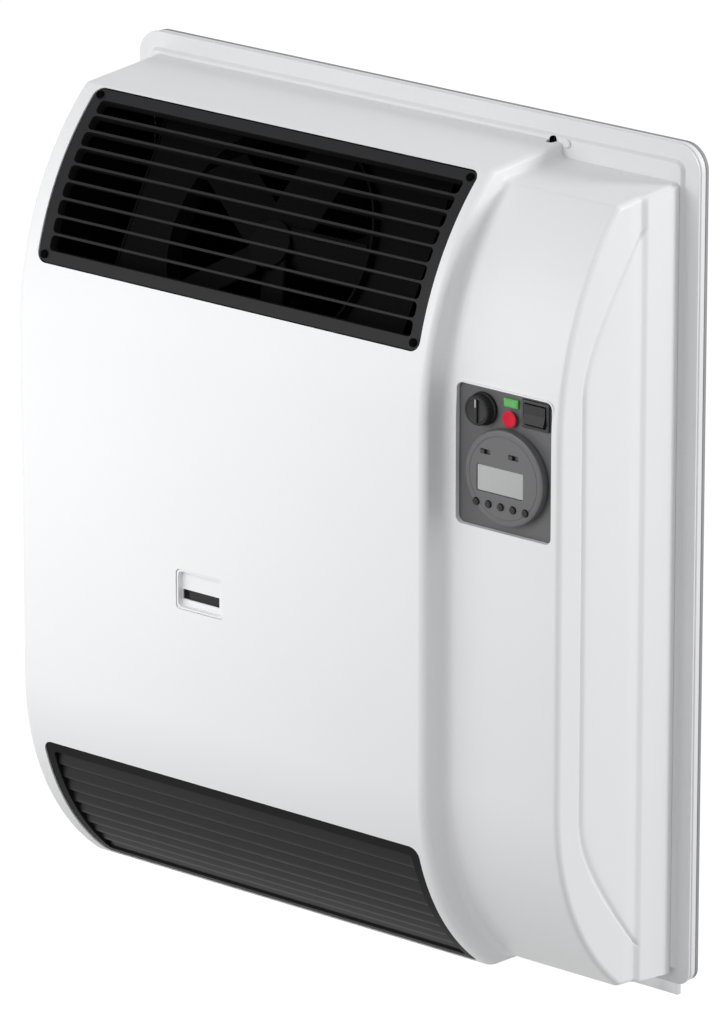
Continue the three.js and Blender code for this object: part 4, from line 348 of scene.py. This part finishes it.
def lathe(name, x, z, profile, finish, sides=64):
    """A turned piece: its profile is (radius, y) from one end of its axis to the other."""
    loops = []
    for radius, y in profile:
        radius = max(radius, 0.01)
        loops.append([
            (x + radius * cosine(360 * i / sides), y, z + radius * sine(360 * i / sides))
            for i in range(sides)
        ])
    return loft(name, loops, finish)


# ------------------------------------------------------------------ casing

ARC_STEPS, ROUND_STEPS = 36, 8
ROOF_ROUND = 6.0                # where the curves meet the roof and the floor
LEFT_ROUND, STEP_ROUND, FLANK_ROUND = 8, 7, 5
STEP_SLOPE = 0.6                # how far the step's wall leans to the right
WINDOW_CORNER, WINDOW_REACH = 9, 30
# Places along the flank, from the front to the back (y).
CREASE_DIP_START, CREASE_START, CREASE_END = -78, -63.2, -56.2
CREASE_DIP, CREASE_OUT = 0.8, 2.5
PRESSING_FRONT, PRESSING_CREASE, PRESSING_BACK = -133.5, -59, -56
PRESSING_TOP, PRESSING_BOTTOM = 641.5, 45.5
PRESSING_RISE_TOP, PRESSING_RISE_BOTTOM = 120, 122
# Sections as (distance out of the flank, growth beyond the D's line).
GROOVE = ((1.2, 3), (0, 2.2), (-0.6, 1.5), (-1, 0.4))
SHOULDER = ((-1.2, 0), (-1, 0), (-0.35, -1), (0.3, -2), (0.8, -3), (1.05, -4.2), (1.18, -6),
            (1.2, -8.8))
PANEL_LIP, PANEL_CORNER = 1.4, 6
SIGHT_HALF_WIDTH, SIGHT_HALF_HEIGHT, SIGHT_CORNER = 25, 17, 4
RELIEF_HALF_WIDTH, RELIEF_HALF_DEPTH, RELIEF_SIDES = 4.2, 5.5, 24
# How far the cuts reach: in y through the wing and the bulge, in z through the roof.
THROUGH_WING, THROUGH_BULGE, THROUGH_ROOF = (-140, -175), (-180, -190), (668, 686)
SERVICE_OPENING = (-235, 235, -70, 5, -2, 22)   # in the floor, closed by the bottom panel


def fillet(points, index, radius, steps=5):
    """Rounds one corner of an open line of points."""
    here = Vector(points[index])
    before = (Vector(points[index - 1]) - here).normalized()
    after = (Vector(points[index + 1]) - here).normalized()
    half = before.angle(after) / 2
    reach = radius / math.tan(half)
    centre = here + (before + after).normalized() * (radius / math.sin(half))
    start, end = here + before * reach - centre, here + after * reach - centre
    turn = start.angle(end)
    arc = []
    for i in range(steps + 1):
        share = i / steps
        arc.append(tuple(centre + (start * math.sin((1 - share) * turn)
                                   + end * math.sin(share * turn)) / math.sin(turn)))
    return points[:index] + arc + points[index + 1:]


def section(face, inset, back):
    """The casing's outline from the side, as (y, z)."""
    top_y = -face["depth"] + TOP_RADIUS
    bottom_y = -face["depth"] + BOTTOM_RADIUS
    points = [(back, face["roof"] - inset)]
    for i in range(ARC_STEPS, -1, -1):
        angle = face["top"] * i / ARC_STEPS
        points.append((top_y - (TOP_RADIUS - inset) * cosine(angle),
                       TOP_START + (TOP_RADIUS - inset) * sine(angle)))
    for i in range(ARC_STEPS + 1):
        angle = face["bottom"] * i / ARC_STEPS
        points.append((bottom_y - (BOTTOM_RADIUS - inset) * cosine(angle),
                       BOTTOM_START - (BOTTOM_RADIUS - inset) * sine(angle)))
    points.append((back, FLOOR + inset))
    points = fillet(points, len(points) - 2, ROOF_ROUND)
    return fillet(points, 1, ROOF_ROUND)


def blended(share):
    """The side view between the bulge's and the wing's."""
    return {key: mix(BULGE[key], WING[key], share) for key in BULGE}


def casing_block(name, sheet, back, right, finish=WHITE):
    """The casing's outer form or, with a sheet thickness, its hollow, with round edges."""
    turns = [90 * i / ROUND_STEPS for i in range(ROUND_STEPS + 1)]
    quarter = [(sine(turn), cosine(turn)) for turn in turns]
    loops = []

    def add(x, face, inset):
        loops.append([(x, y, z) for y, z in section(face, inset, back)])

    left, flank = LEFT_ROUND - sheet, FLANK_ROUND - sheet
    convex, concave = STEP_ROUND - sheet, STEP_ROUND + sheet
    step = DEPTH - WING_DEPTH
    for across, along in reversed(quarter):
        add(-HALF_CASING + LEFT_ROUND - left * across, BULGE, LEFT_ROUND - left * along)
    for across, along in quarter:
        face = blended(STEP_ROUND * (1 - along) / step)
        face["depth"] = DEPTH - STEP_ROUND + convex * along + sheet
        add(STEP_X - STEP_ROUND + convex * across, face, sheet)
    for across, along in quarter:
        face = blended(1 - STEP_ROUND * (1 - across) / step)
        face["depth"] = WING_DEPTH + STEP_ROUND - concave * across + sheet
        add(STEP_X + STEP_SLOPE + STEP_ROUND - concave * along, face, sheet)
    for across, along in quarter:
        add(right - FLANK_ROUND + flank * across, WING, FLANK_ROUND - flank * along)
    return loft(name, loops, finish)


def curve_point(grille, angle, sink):
    """The (y, z) of a spot on the curve, sunk below its face."""
    y = -DEPTH + grille["radius"] - (grille["radius"] - sink) * cosine(angle)
    return y, grille["start"] + grille["sign"] * (grille["radius"] - sink) * sine(angle)


def grille_window(grille):
    """A rounded block that goes straight through the curve where the grille lies."""
    middle = (grille["low"] + grille["high"]) / 2
    half = grille["radius"] * sine((grille["high"] - grille["low"]) / 2)
    outline = rounded(GRILLE_LEFT, GRILLE_RIGHT, -half, half, WINDOW_CORNER)
    cy, cz = curve_point(grille, middle, 0)
    sign = grille["sign"]
    normal = Vector((0, -cosine(middle), sign * sine(middle)))
    upward = Vector((0, sign * sine(middle), cosine(middle)))
    return loft("window", [
        [Vector((x, cy, cz)) + upward * s + normal * away for x, s in outline]
        for away in (WINDOW_REACH, -WINDOW_REACH)
    ], WHITE)


def pressing_line(grow):
    """The D on the flank as (y, z), its back lying in the strip behind the crease."""
    crease, front = PRESSING_CREASE, PRESSING_FRONT - grow
    top, bottom = PRESSING_TOP + grow, PRESSING_BOTTOM - grow
    low_start, high_end = bottom + PRESSING_RISE_BOTTOM, top - PRESSING_RISE_TOP
    turn = (crease - front) / 2

    def bezier(a, b, c, steps=28):
        out = []
        for i in range(steps + 1):
            t = i / steps
            out.append(tuple((1 - t) ** 2 * Vector(a) + 2 * t * (1 - t) * Vector(b)
                             + t * t * Vector(c)))
        return out

    upper = bezier((crease, top), (front, high_end + turn), (front, high_end))
    lower = bezier((front, low_start), (front, low_start - turn), (crease, bottom))
    return [(PRESSING_BACK, top)] + upper + lower + [(PRESSING_BACK, bottom)]


def step_out(casing):
    """Moves the flank and its round edges out behind the upright line, after a slight dip."""
    dip_steps, rise_steps = 5, 8
    pressed = 1.3               # what lies deeper belongs to the round edges
    work = bmesh.new()
    work.from_mesh(casing.data)
    cuts = [mix(CREASE_DIP_START, CREASE_START, i / dip_steps) for i in range(dip_steps)]
    cuts += [mix(CREASE_START, CREASE_END, i / rise_steps) for i in range(rise_steps + 1)]
    for cut in cuts:
        bmesh.ops.bisect_plane(
            work, geom=work.verts[:] + work.edges[:] + work.faces[:],
            plane_co=(0, cut * MM, 0), plane_no=(0, 1, 0), dist=1e-7,
        )

    def soft(y, low, high):
        share = min(max((y / MM - low) / (high - low), 0), 1)
        return share * share * (3 - 2 * share)

    for vert in work.verts:
        if vert.co.x > (HALF_CASING - FLANK_ROUND - 0.1) * MM:
            past = vert.co.x - HALF_CASING * MM
            if past < -pressed * MM:
                past = 0
            share = soft(vert.co.y, CREASE_START, CREASE_END)
            dipped = soft(vert.co.y, CREASE_DIP_START, CREASE_START)
            vert.co.x += (CREASE_OUT * MM - past) * share
            vert.co.x -= CREASE_DIP * MM * dipped * (1 - share)
    work.to_mesh(casing.data)
    work.free()


def raise_pressing(casing):
    """The D on the flank: a fine groove round it and a raised middle with a soft shoulder."""
    def plate(name, loops):
        return loft(name, [[(HALF_CASING + out, y, z) for y, z in pressing_line(grow)]
                           for out, grow in loops], WHITE)

    carve(casing, plate("groove", GROOVE))
    carve(casing, plate("pressing", SHOULDER), operation="UNION")


def around_panel(margin, corner):
    """The control panel's outline with a margin, as (x, z)."""
    x0, x1, z0, z1 = PANEL
    return rounded(x0 - margin, x1 + margin, z0 - margin, z1 + margin, corner)


def make_casing():
    casing = casing_block("casing", 0, CASING_BACK, HALF_CASING)
    raise_pressing(casing)
    step_out(casing)
    # The hollow's cut faces take the near-black painted shade of the inside.
    carve(casing, casing_block("hollow", SHEET, 5, HALF_CASING - 1, INSIDE_PAINTED_SHADE), faces="TRANSFER")
    lip = loft("lip", [at_y(around_panel(PANEL_LIP, PANEL_CORNER + PANEL_LIP), y)
                       for y in (-WING_DEPTH + 4.5, -WING_DEPTH + 0.8)], WHITE)
    carve(casing, lip, operation="UNION")
    sight = rounded(SIGHT[0] - SIGHT_HALF_WIDTH, SIGHT[0] + SIGHT_HALF_WIDTH,
                    SIGHT[1] - SIGHT_HALF_HEIGHT, SIGHT[1] + SIGHT_HALF_HEIGHT, SIGHT_CORNER)
    turns = [360 * i / RELIEF_SIDES for i in range(RELIEF_SIDES)]
    relief = [(RELIEF_X + RELIEF_HALF_WIDTH * cosine(turn),
               CASING_BACK - 1 + RELIEF_HALF_DEPTH * sine(turn)) for turn in turns]
    carve(
        casing,
        loft("opening", [at_y(around_panel(0, PANEL_CORNER), y) for y in THROUGH_WING], WHITE),
        grille_window(INTAKE), grille_window(OUTLET),
        loft("sight", [at_y(sight, y) for y in THROUGH_BULGE], WHITE),
        loft("relief", [[(x, y, z) for x, y in relief] for z in THROUGH_ROOF], WHITE),
        block("service", *SERVICE_OPENING, WHITE),
    )
    bevel(casing, 0.7)
    place(casing, "housing", "white_enamel", "front_casing", smooth=34)


make_casing()

# ------------------------------------------------------------------ frames at the wall

FRAME_CORNER_TOP, FRAME_CORNER_BOTTOM = 22, 12
TRIM_INNER, TRIM_INNER_TOP = 34, 42
SCREW = (STEP_X + 5, 681.5)
SCREW_WAY_RADIUS = 2.1
RELIEF_WAY_HALF_WIDTH, RELIEF_WAY_BOTTOM, RELIEF_WAY_TOP = 3.8, 670, 685.4
THROUGH_FRAMES = (-25, 5)
SEAL_GAP = (-273, 273, -8, 4, -1, 36)   # the seal is open at the bottom


def frame_loop(inset, y, top_inset=None):
    """The frame's outline at one depth, drawn in on all sides, and more at the top if asked."""
    top_inset = inset if top_inset is None else top_inset
    return at_y(rounded(-HALF_FRAME + inset, HALF_FRAME - inset, inset, FRAME_HEIGHT - top_inset,
                        max(FRAME_CORNER_TOP - inset, 1), max(FRAME_CORNER_BOTTOM - inset, 1),
                        steps=12), y)


def screw_way():
    front, back = THROUGH_FRAMES
    return lathe("way", *SCREW, [(SCREW_WAY_RADIUS, back), (SCREW_WAY_RADIUS, front)],
                 FRAME_WHITE, sides=24)


def relief_way():
    # The notch's walls take the near-black painted shade of the inside.
    return block("way", RELIEF_X - RELIEF_WAY_HALF_WIDTH, RELIEF_X + RELIEF_WAY_HALF_WIDTH,
                 *THROUGH_FRAMES, RELIEF_WAY_BOTTOM, RELIEF_WAY_TOP, INSIDE_PAINTED_SHADE, radius=3.2)


def paint_shade_inside(ring, inset, top_inset):
    """Gives the near-black painted shade to the ring's faces that lie within the casing."""
    ring.data.materials.append(INSIDE_PAINTED_SHADE)
    for face in ring.data.polygons:
        x, _, z = face.center / MM
        if abs(x) < HALF_FRAME - inset and inset < z < FRAME_HEIGHT - top_inset:
            face.material_index = 1


def make_frames():
    inner = HALF_FRAME - HALF_CASING + SHEET
    inner_top = FRAME_HEIGHT - WING["roof"] + SHEET
    trim = loft("trim_ring", [
        frame_loop(0.4, TRIM_BACK), frame_loop(0, -12.4), frame_loop(0, -13.3),
        frame_loop(0.25, -13.8), frame_loop(0.8, FLANGE_FRONT), frame_loop(12.8, FLANGE_FRONT),
        frame_loop(13.3, -14.25), frame_loop(13.9, -15.2), frame_loop(14.7, -16.8),
        frame_loop(15.3, -17.6), frame_loop(16.1, TRIM_FRONT),
        frame_loop(inner, TRIM_FRONT, inner_top),
        frame_loop(TRIM_INNER, TRIM_FRONT, TRIM_INNER_TOP),
        frame_loop(TRIM_INNER, TRIM_BACK, TRIM_INNER_TOP),
    ], FRAME_WHITE, ring=True)
    paint_shade_inside(trim, inner, inner_top)
    carve(trim, screw_way())
    carve(trim, relief_way(), faces="TRANSFER")
    place(trim, "housing", "frame_enamel", "trim_frame")

    wall = loft("wall_ring", [
        frame_loop(1.2, -4.3), frame_loop(0.8, -4.7), frame_loop(0.8, -9.2),
        frame_loop(1.2, -9.7), frame_loop(2.8, -9.7), frame_loop(2.8, -11.7),
        frame_loop(26, -11.7), frame_loop(26, -4.3),
    ], FRAME_WHITE, ring=True)
    carve(wall, screw_way())
    carve(wall, relief_way(), faces="TRANSFER")
    place(wall, "housing", "frame_enamel", "wall_frame")

    seal = loft("wall_seal", [
        frame_loop(1.6, 0), frame_loop(0.9, -0.5), frame_loop(0.8, -2), frame_loop(0.9, -3.5),
        frame_loop(1.6, -4), frame_loop(17.2, -4), frame_loop(18, -3.3), frame_loop(18, -0.7),
        frame_loop(17.2, 0),
    ], RUBBER, ring=True)
    carve(seal, block("gap", *SEAL_GAP, RUBBER))
    place(seal, "housing", "rubber", "wall_gasket")


make_frames()

# ------------------------------------------------------------------ grilles

GRILLE_PLAY = 0.5               # between a grille and the casing's window
GRILLE_CORNER = 8.5
INTAKE_SLATS, INTAKE_SLAT, INTAKE_SLOT_CORNER = 8, 2.4, 3.6
OUTLET_BLADES = 9
BEND_STEP = 4                   # the most that a bent face spans along the curve


def bend(obj, grille):
    """Lays a flat piece on the curve: x stays, z is the arc's length and y is minus the height."""
    work = bmesh.new()
    work.from_mesh(obj.data)
    spots = [v.co.z for v in work.verts]
    low, high = min(spots), max(spots)
    cuts = int((high - low) / (BEND_STEP * MM))
    for i in range(1, cuts):
        height = mix(low, high, i / cuts)
        bmesh.ops.bisect_plane(
            work, geom=work.verts[:] + work.edges[:] + work.faces[:], plane_co=(0, 0, height),
            plane_no=(0, 0, 1), dist=1e-7,
        )
    for vert in work.verts:
        angle = math.degrees(vert.co.z / (grille["radius"] * MM))
        y, z = curve_point(grille, angle, vert.co.y / MM)
        vert.co = Vector((vert.co.x, y * MM, z * MM))
    bmesh.ops.recalc_face_normals(work, faces=work.faces)
    work.to_mesh(obj.data)
    work.free()
    return obj


def arc(grille, angle):
    """How far along the curve an angle lies."""
    return math.radians(angle) * grille["radius"]


def grille_frame(name, grille, finish):
    """A grille's flat plate before it is bent, with its low and high edge."""
    low = arc(grille, grille["low"]) + GRILLE_PLAY
    high = arc(grille, grille["high"]) - GRILLE_PLAY
    left, right = GRILLE_LEFT + GRILLE_PLAY, GRILLE_RIGHT - GRILLE_PLAY
    plate = loft(name, [
        at_y(rounded(left + inset, right - inset, low + inset, high - inset,
                     GRILLE_CORNER - inset), y)
        for inset, y in ((0, 9.8), (0, 1.6), (0.2, 1.1), (0.8, 0.8))
    ], finish)
    return plate, low, high


def make_intake():
    border = INTAKE["border"]
    grille, low, high = grille_frame("intake_frame", INTAKE, GRILLE)
    inside_low, inside_high = low + border - GRILLE_PLAY, high - border + GRILLE_PLAY
    pitch = (inside_high - inside_low + INTAKE_SLAT) / (INTAKE_SLATS + 1)
    tools = []
    for i in range(INTAKE_SLATS + 1):
        z0 = inside_low + i * pitch
        z1 = z0 + pitch - INTAKE_SLAT
        tools.append(loft("slot", [
            at_y(rounded(GRILLE_LEFT + border - grow, GRILLE_RIGHT - border + grow, z0 - grow,
                         z1 + grow, INTAKE_SLOT_CORNER + grow, steps=5), y)
            for y, grow in ((14, 0), (1.4, 0), (1.0, 0.15), (0.7, 0.5), (-1, 0.9))
        ], GRILLE))
    carve(grille, *tools)
    bend(grille, INTAKE)
    place(grille, "housing", "grille_plastic", "intake_grille", smooth=40)


def make_outlet():
    border = OUTLET["border"]
    grille, low, high = grille_frame("outlet_frame", OUTLET, OUTLET_BLACK)
    left, right = GRILLE_LEFT + border, GRILLE_RIGHT - border
    inside_low, inside_high = low + border, high - border
    carve(grille, loft("window", [
        at_y(rounded(left, right, inside_low, inside_high, 3), y) for y in (14, -1)
    ], GRILLE))
    bend(grille, OUTLET)
    place(grille, "housing", "grille_plastic", "outlet_grille", smooth=40)

    pitch = (inside_high - inside_low) / OUTLET_BLADES
    for i in range(OUTLET_BLADES):
        z0 = inside_low + i * pitch - 4
        z1 = inside_low + (i + 1) * pitch + 0.4
        outline = [(z0, 9.0), (z0 + 0.4, 8.0), (z1 - 3.2, 3.2), (z1 - 1.2, 2.8), (z1, 3.2),
                   (z1 + 0.2, 4.2), (z1 - 0.6, 4.8), (z1 - 2.6, 5.0), (z0 + 1.2, 9.6)]
        blade = loft("louvre_%d" % (i + 1), [[(x, y, z) for z, y in outline]
                                             for x in (left - 0.5, right + 0.5)], LOUVRE)
        bend(blade, OUTLET)
        place(blade, "housing", "grille_plastic", smooth=50)


make_intake()
make_outlet()

# ------------------------------------------------------------------ control panel

PANEL_BEHIND = 2.5              # how far the plate reaches behind the casing's edge
THROUGH_PLATE = (-170, -140)
KNOB_FLUTES, KNOB_FLUTE_STEPS = 24, 6
TIMER_KEYS, TIMER_KEY_PITCH, TIMER_KEY_SHIFT, TIMER_KEY_DROP = 5, 12.3, 2.5, 23.6
TIMER_SLIDE_SHIFT, TIMER_SLIDE_SIDE = 4, 14


def round_hole(centre, radius):
    front, back = THROUGH_PLATE
    return lathe("hole", *centre, [(radius, back), (radius, front)], PANEL_GREY)


def square_hole(centre, half_width, half_height):
    x, z = centre
    return block("hole", x - half_width, x + half_width, *THROUGH_PLATE, z - half_height,
                 z + half_height, PANEL_GREY)


def make_plate():
    outline = around_panel(PANEL_BEHIND, PANEL_CORNER + PANEL_BEHIND)
    plate = loft("panel_plate", [at_y(outline, PLATE_BACK), at_y(outline, PLATE_FACE)],
                 PANEL_GREY)
    carve(
        plate, round_hole(KNOB, 3.4), square_hole(LAMP, 6.5, 2.8), round_hole(RESET, 3.4),
        square_hole(ROCKER, 12.3, 9.8), round_hole(TIMER, 30.5),
    )
    place(bevel(plate, 0.3), "housing", "panel_plastic", "control_plate")


def make_knob():
    x, z = KNOB
    back, front = PLATE_FACE - 0.4, PLATE_FACE - 11
    sides = KNOB_FLUTES * KNOB_FLUTE_STEPS

    def loop(radius, y, wave=0.0):
        out = []
        for i in range(sides):
            angle = 360 * i / sides
            r = radius - wave * (0.5 + 0.5 * cosine(angle * KNOB_FLUTES))
            out.append((x + r * cosine(angle), y, z + r * sine(angle)))
        return out

    knob = loft("knob", [
        loop(3.5, back + 0.001), loop(13.2, back), loop(13.5, back - 0.4), loop(13.5, back - 2.2),
        loop(13.1, back - 2.8), loop(12.7, back - 3.0), loop(12.6, back - 3.6, 0.5),
        loop(12.3, front + 2.0, 0.5), loop(11.7, front + 0.7, 0.3), loop(10.8, front),
        loop(9.9, front), loop(9.4, front + 0.6), loop(8.6, front + 0.9), loop(0.01, front + 0.9),
    ], KEY_BLACK)
    carve(knob, lathe("socket", x, z, [(3.3, back + 2), (3.3, back - 7.3)], KEY_BLACK, 32))
    place(knob, "knob", "black_plastic", "thermostat_knob", smooth=40)
    bar = block("knob_grip", x - 1.5, x + 1.5, front - 0.6, front + 2, z - 10.4, z + 10.4,
                KEY_BLACK, radius=1.4)
    place(bevel(bar, 0.5), "knob", "black_plastic")
    mark = block("knob_mark", x - 0.5, x + 0.5, front - 0.68, front - 0.4, z + 3, z + 9.6,
                 MARK_WHITE, radius=0.4)
    place(mark, "knob", "black_plastic")


def make_lamp_and_reset():
    x, z = LAMP
    lens = loft("lamp_lens", [
        at_y(rounded(x - w, x + w, z - h, z + h, r), y) for w, h, r, y in (
            (7.5, 3.8, 1.2, PLATE_FACE - 0.3), (7.5, 3.8, 1.2, PLATE_FACE - 1.4),
            (7.2, 3.5, 1.1, PLATE_FACE - 1.8), (6.4, 2.7, 1.0, PLATE_FACE - 2.0),
            (5.4, 1.7, 0.9, PLATE_FACE - 2.05),
        )
    ], GREEN)
    carve(lens, block("body", x - 6.1, x + 6.1, PLATE_FACE - 1, PLATE_BACK + 14, z - 2.4, z + 2.4,
                      GREEN), operation="UNION")
    place(lens, "housing", "green_lens", "green_lamp", smooth=45)
    x, z = RESET
    back = PLATE_FACE - 2.9
    cap = lathe("reset_cap", x, z, [
        (0.01, PLATE_BACK + 9), (3, PLATE_BACK + 9), (3, back), (6.4, back), (6.8, back - 0.3),
        (6.8, PLATE_FACE - 3.5), (6.5, PLATE_FACE - 3.85), (5.9, PLATE_FACE - 4),
        (4.5, PLATE_FACE - 3.9), (2.5, PLATE_FACE - 3.75), (0.01, PLATE_FACE - 3.7),
    ], RED)
    place(cap, "reset", "red_cap", "reset_button", smooth=40)


def make_rocker():
    x, z = ROCKER
    face = PLATE_FACE
    rim = loft("rocker_rim", [
        at_y(rounded(x - w, x + w, z - h, z + h, r), y) for w, h, r, y in (
            (14, 11.5, 1.6, face - 0.3), (14, 11.5, 1.6, face - 1.2),
            (13.7, 11.2, 1.5, face - 1.7), (13, 10.5, 1.2, face - 2),
            (11.9, 9.4, 0.8, face - 2), (11.4, 8.9, 0.6, face - 1.6),
        )
    ], BLACK)
    carve(rim, block("body", x - 11.8, x + 11.8, face - 1, PLATE_BACK + 18, z - 9.3, z + 9.3,
                     BLACK), operation="UNION")
    carve(rim, block("well", x - 10.8, x + 10.8, face - 5, face + 7, z - 8.8, z + 8.8, BLACK))
    place(rim, "housing", "black_plastic", "rocker_frame")


def make_timer():
    x, z = TIMER
    face = TIMER_FACE
    housing = lathe("timer_case", x, z, [
        (0.01, PLATE_BACK + 28), (30, PLATE_BACK + 28), (30, PLATE_FACE - 0.3),
        (38.4, PLATE_FACE - 0.3), (39, PLATE_FACE - 1), (39, face + 1.8), (38.7, face + 0.8),
        (37.9, face + 0.2), (37, face), (34.4, face), (34.0, face + 0.35), (33.6, face + 0.35),
        (33.2, face), (0.01, face),
    ], TIMER_GREY, sides=96)
    dx, dz = DISPLAY
    tools = [loft("window", [
        at_y(rounded(dx - w, dx + w, dz - h, dz + h, 1.5), y)
        for w, h, y in ((23.1, 10.8, face + 2.9), (23.1, 10.8, face + 0.5), (23.9, 11.6, face - 1))
    ], TIMER_GREY)]
    keys = [(x - TIMER_KEY_SHIFT + (i - TIMER_KEYS // 2) * TIMER_KEY_PITCH, z - TIMER_KEY_DROP)
            for i in range(TIMER_KEYS)]
    for key in keys:
        tools.append(lathe("hole", *key, [(3.3, face + 4.3), (3.3, face - 1)], TIMER_GREY, 32))
    for side in (-1, 1):
        sx = x - TIMER_SLIDE_SHIFT + side * TIMER_SLIDE_SIDE
        tools.append(block("slot", sx - 5, sx + 5, face - 1, face + 2.5, z + 16.8, z + 20.8,
                           TIMER_GREY, radius=0.6))
    carve(housing, *tools)
    place(bevel(housing, 0.25), "housing", "timer_plastic", "timer_housing", smooth=34)

    glass = loft("timer_glass", [
        at_y(rounded(dx - w, dx + w, dz - h, dz + h, 1.2), y) for w, h, y in (
            (22.8, 10.5, face + 2.6), (22.8, 10.5, face + 0.8), (22.5, 10.2, face + 0.6))
    ], DISPLAY_GREY)
    place(glass, "housing", "display_glass", "timer_display")

    for number, key in enumerate(keys, 1):
        button = lathe("timer_key_%d" % number, *key, [
            (0.01, face + 2.9), (2.9, face + 2.9), (2.9, face - 1.1), (2.6, face - 1.45),
            (2.0, face - 1.6), (0.9, face - 1.5), (0.01, face - 1.45),
        ], KEY_BLACK, 32)
        place(button, "button_%d" % number, "black_plastic", "timer_button_%d" % number)


make_plate()
make_knob()
make_lamp_and_reset()
make_rocker()
make_timer()

# ------------------------------------------------------------------ camera, floor and light

# The camera, the lamps and what they aim at are placed in metres, the floor in millimetres.
AZIMUTH, ELEVATION = 40, 18
TARGET = Vector((0.0215, -0.1, 0.3674))
DISTANCE = 6.4243
SENSOR_HEIGHT, FOCAL_LENGTH = 36, 281.25
SKY_LIGHT, SKY_SEEN = 0.52, 1.0
FLOOR_REACH, FLOOR_LEVEL = 30000, -650
FLOOR_GREY, FLOOR_GLOW, FLOOR_GLOW_SHARE = 0.62, 1.12, 0.9
AIM = (0, -0.15, 0.38)


def make_camera():
    lens = bpy.data.cameras.new("camera")
    lens.sensor_fit = "VERTICAL"
    lens.sensor_height = SENSOR_HEIGHT
    lens.lens = FOCAL_LENGTH
    lens.clip_end = 100
    camera = bpy.data.objects.new("camera", lens)
    SCENE.collection.objects.link(camera)
    away = Vector((sine(AZIMUTH) * cosine(ELEVATION), -cosine(AZIMUTH) * cosine(ELEVATION),
                   sine(ELEVATION)))
    camera.location = TARGET + away * DISTANCE
    camera.rotation_euler = away.to_track_quat("Z", "Y").to_euler()
    SCENE.camera = camera


def lamp(name, place_at, aim, size, power):
    """A round soft lamp at a place in metres."""
    light = bpy.data.lights.new(name, "AREA")
    light.shape = "DISK"
    light.size = size
    light.energy = power
    obj = bpy.data.objects.new(name, light)
    SCENE.collection.objects.link(obj)
    obj.location = place_at
    obj.rotation_euler = (Vector(place_at) - Vector(aim)).to_track_quat("Z", "Y").to_euler()


def background_share(nodes, links):
    """1 for rays that should see the white background, 0 for the light on the object."""
    path = nodes.new("ShaderNodeLightPath")
    total = path.outputs["Is Camera Ray"]
    for name in ("Is Glossy Ray", "Is Transmission Ray"):
        add = nodes.new("ShaderNodeMath")
        add.operation = "MAXIMUM"
        links.new(total, add.inputs[0])
        links.new(path.outputs[name], add.inputs[1])
        total = add.outputs[0]
    return total


def make_surroundings():
    world = bpy.data.worlds.new("world")
    SCENE.world = world
    world.use_nodes = True
    nodes, links = world.node_tree.nodes, world.node_tree.links
    sky = nodes["Background"]
    sky.inputs["Color"].default_value = (0.98, 0.99, 1, 1)
    strength = nodes.new("ShaderNodeMapRange")
    strength.inputs["To Min"].default_value = SKY_LIGHT
    strength.inputs["To Max"].default_value = SKY_SEEN
    links.new(background_share(nodes, links), strength.inputs["Value"])
    links.new(strength.outputs["Result"], sky.inputs["Strength"])

    corners = [(x * FLOOR_REACH, y * FLOOR_REACH, FLOOR_LEVEL)
               for x, y in ((-1, -1), (1, -1), (1, 1), (-1, 1))]
    ground = make("floor", corners, [(0, 1, 2, 3)], bpy.data.materials.new("floor"))
    paint = ground.data.materials[0]
    paint.use_nodes = True
    nodes, links = paint.node_tree.nodes, paint.node_tree.links
    matt = nodes["Principled BSDF"]
    matt.inputs["Base Color"].default_value = (FLOOR_GREY, FLOOR_GREY, FLOOR_GREY, 1)
    matt.inputs["Roughness"].default_value = 0.9
    glow = nodes.new("ShaderNodeEmission")
    glow.inputs["Strength"].default_value = FLOOR_GLOW
    blend = nodes.new("ShaderNodeMixShader")
    part = nodes.new("ShaderNodeMath")
    part.operation = "MULTIPLY"
    part.inputs[1].default_value = FLOOR_GLOW_SHARE
    links.new(background_share(nodes, links), part.inputs[0])
    links.new(part.outputs[0], blend.inputs["Fac"])
    links.new(matt.outputs[0], blend.inputs[1])
    links.new(glow.outputs[0], blend.inputs[2])
    links.new(blend.outputs[0], nodes["Material Output"].inputs["Surface"])

    lamp("key", (-0.143, -1.3, 0.957), AIM, 0.8, 7.3)
    lamp("left", (-0.5, -0.63, 0.319), AIM, 0.6, 1.15)
    lamp("side", (1.9, 1.0, 1.36), (0.2, -0.1, 0.35), 0.6, 27.5)


make_camera()
make_surroundings()

SCENE.view_settings.view_transform = "Standard"
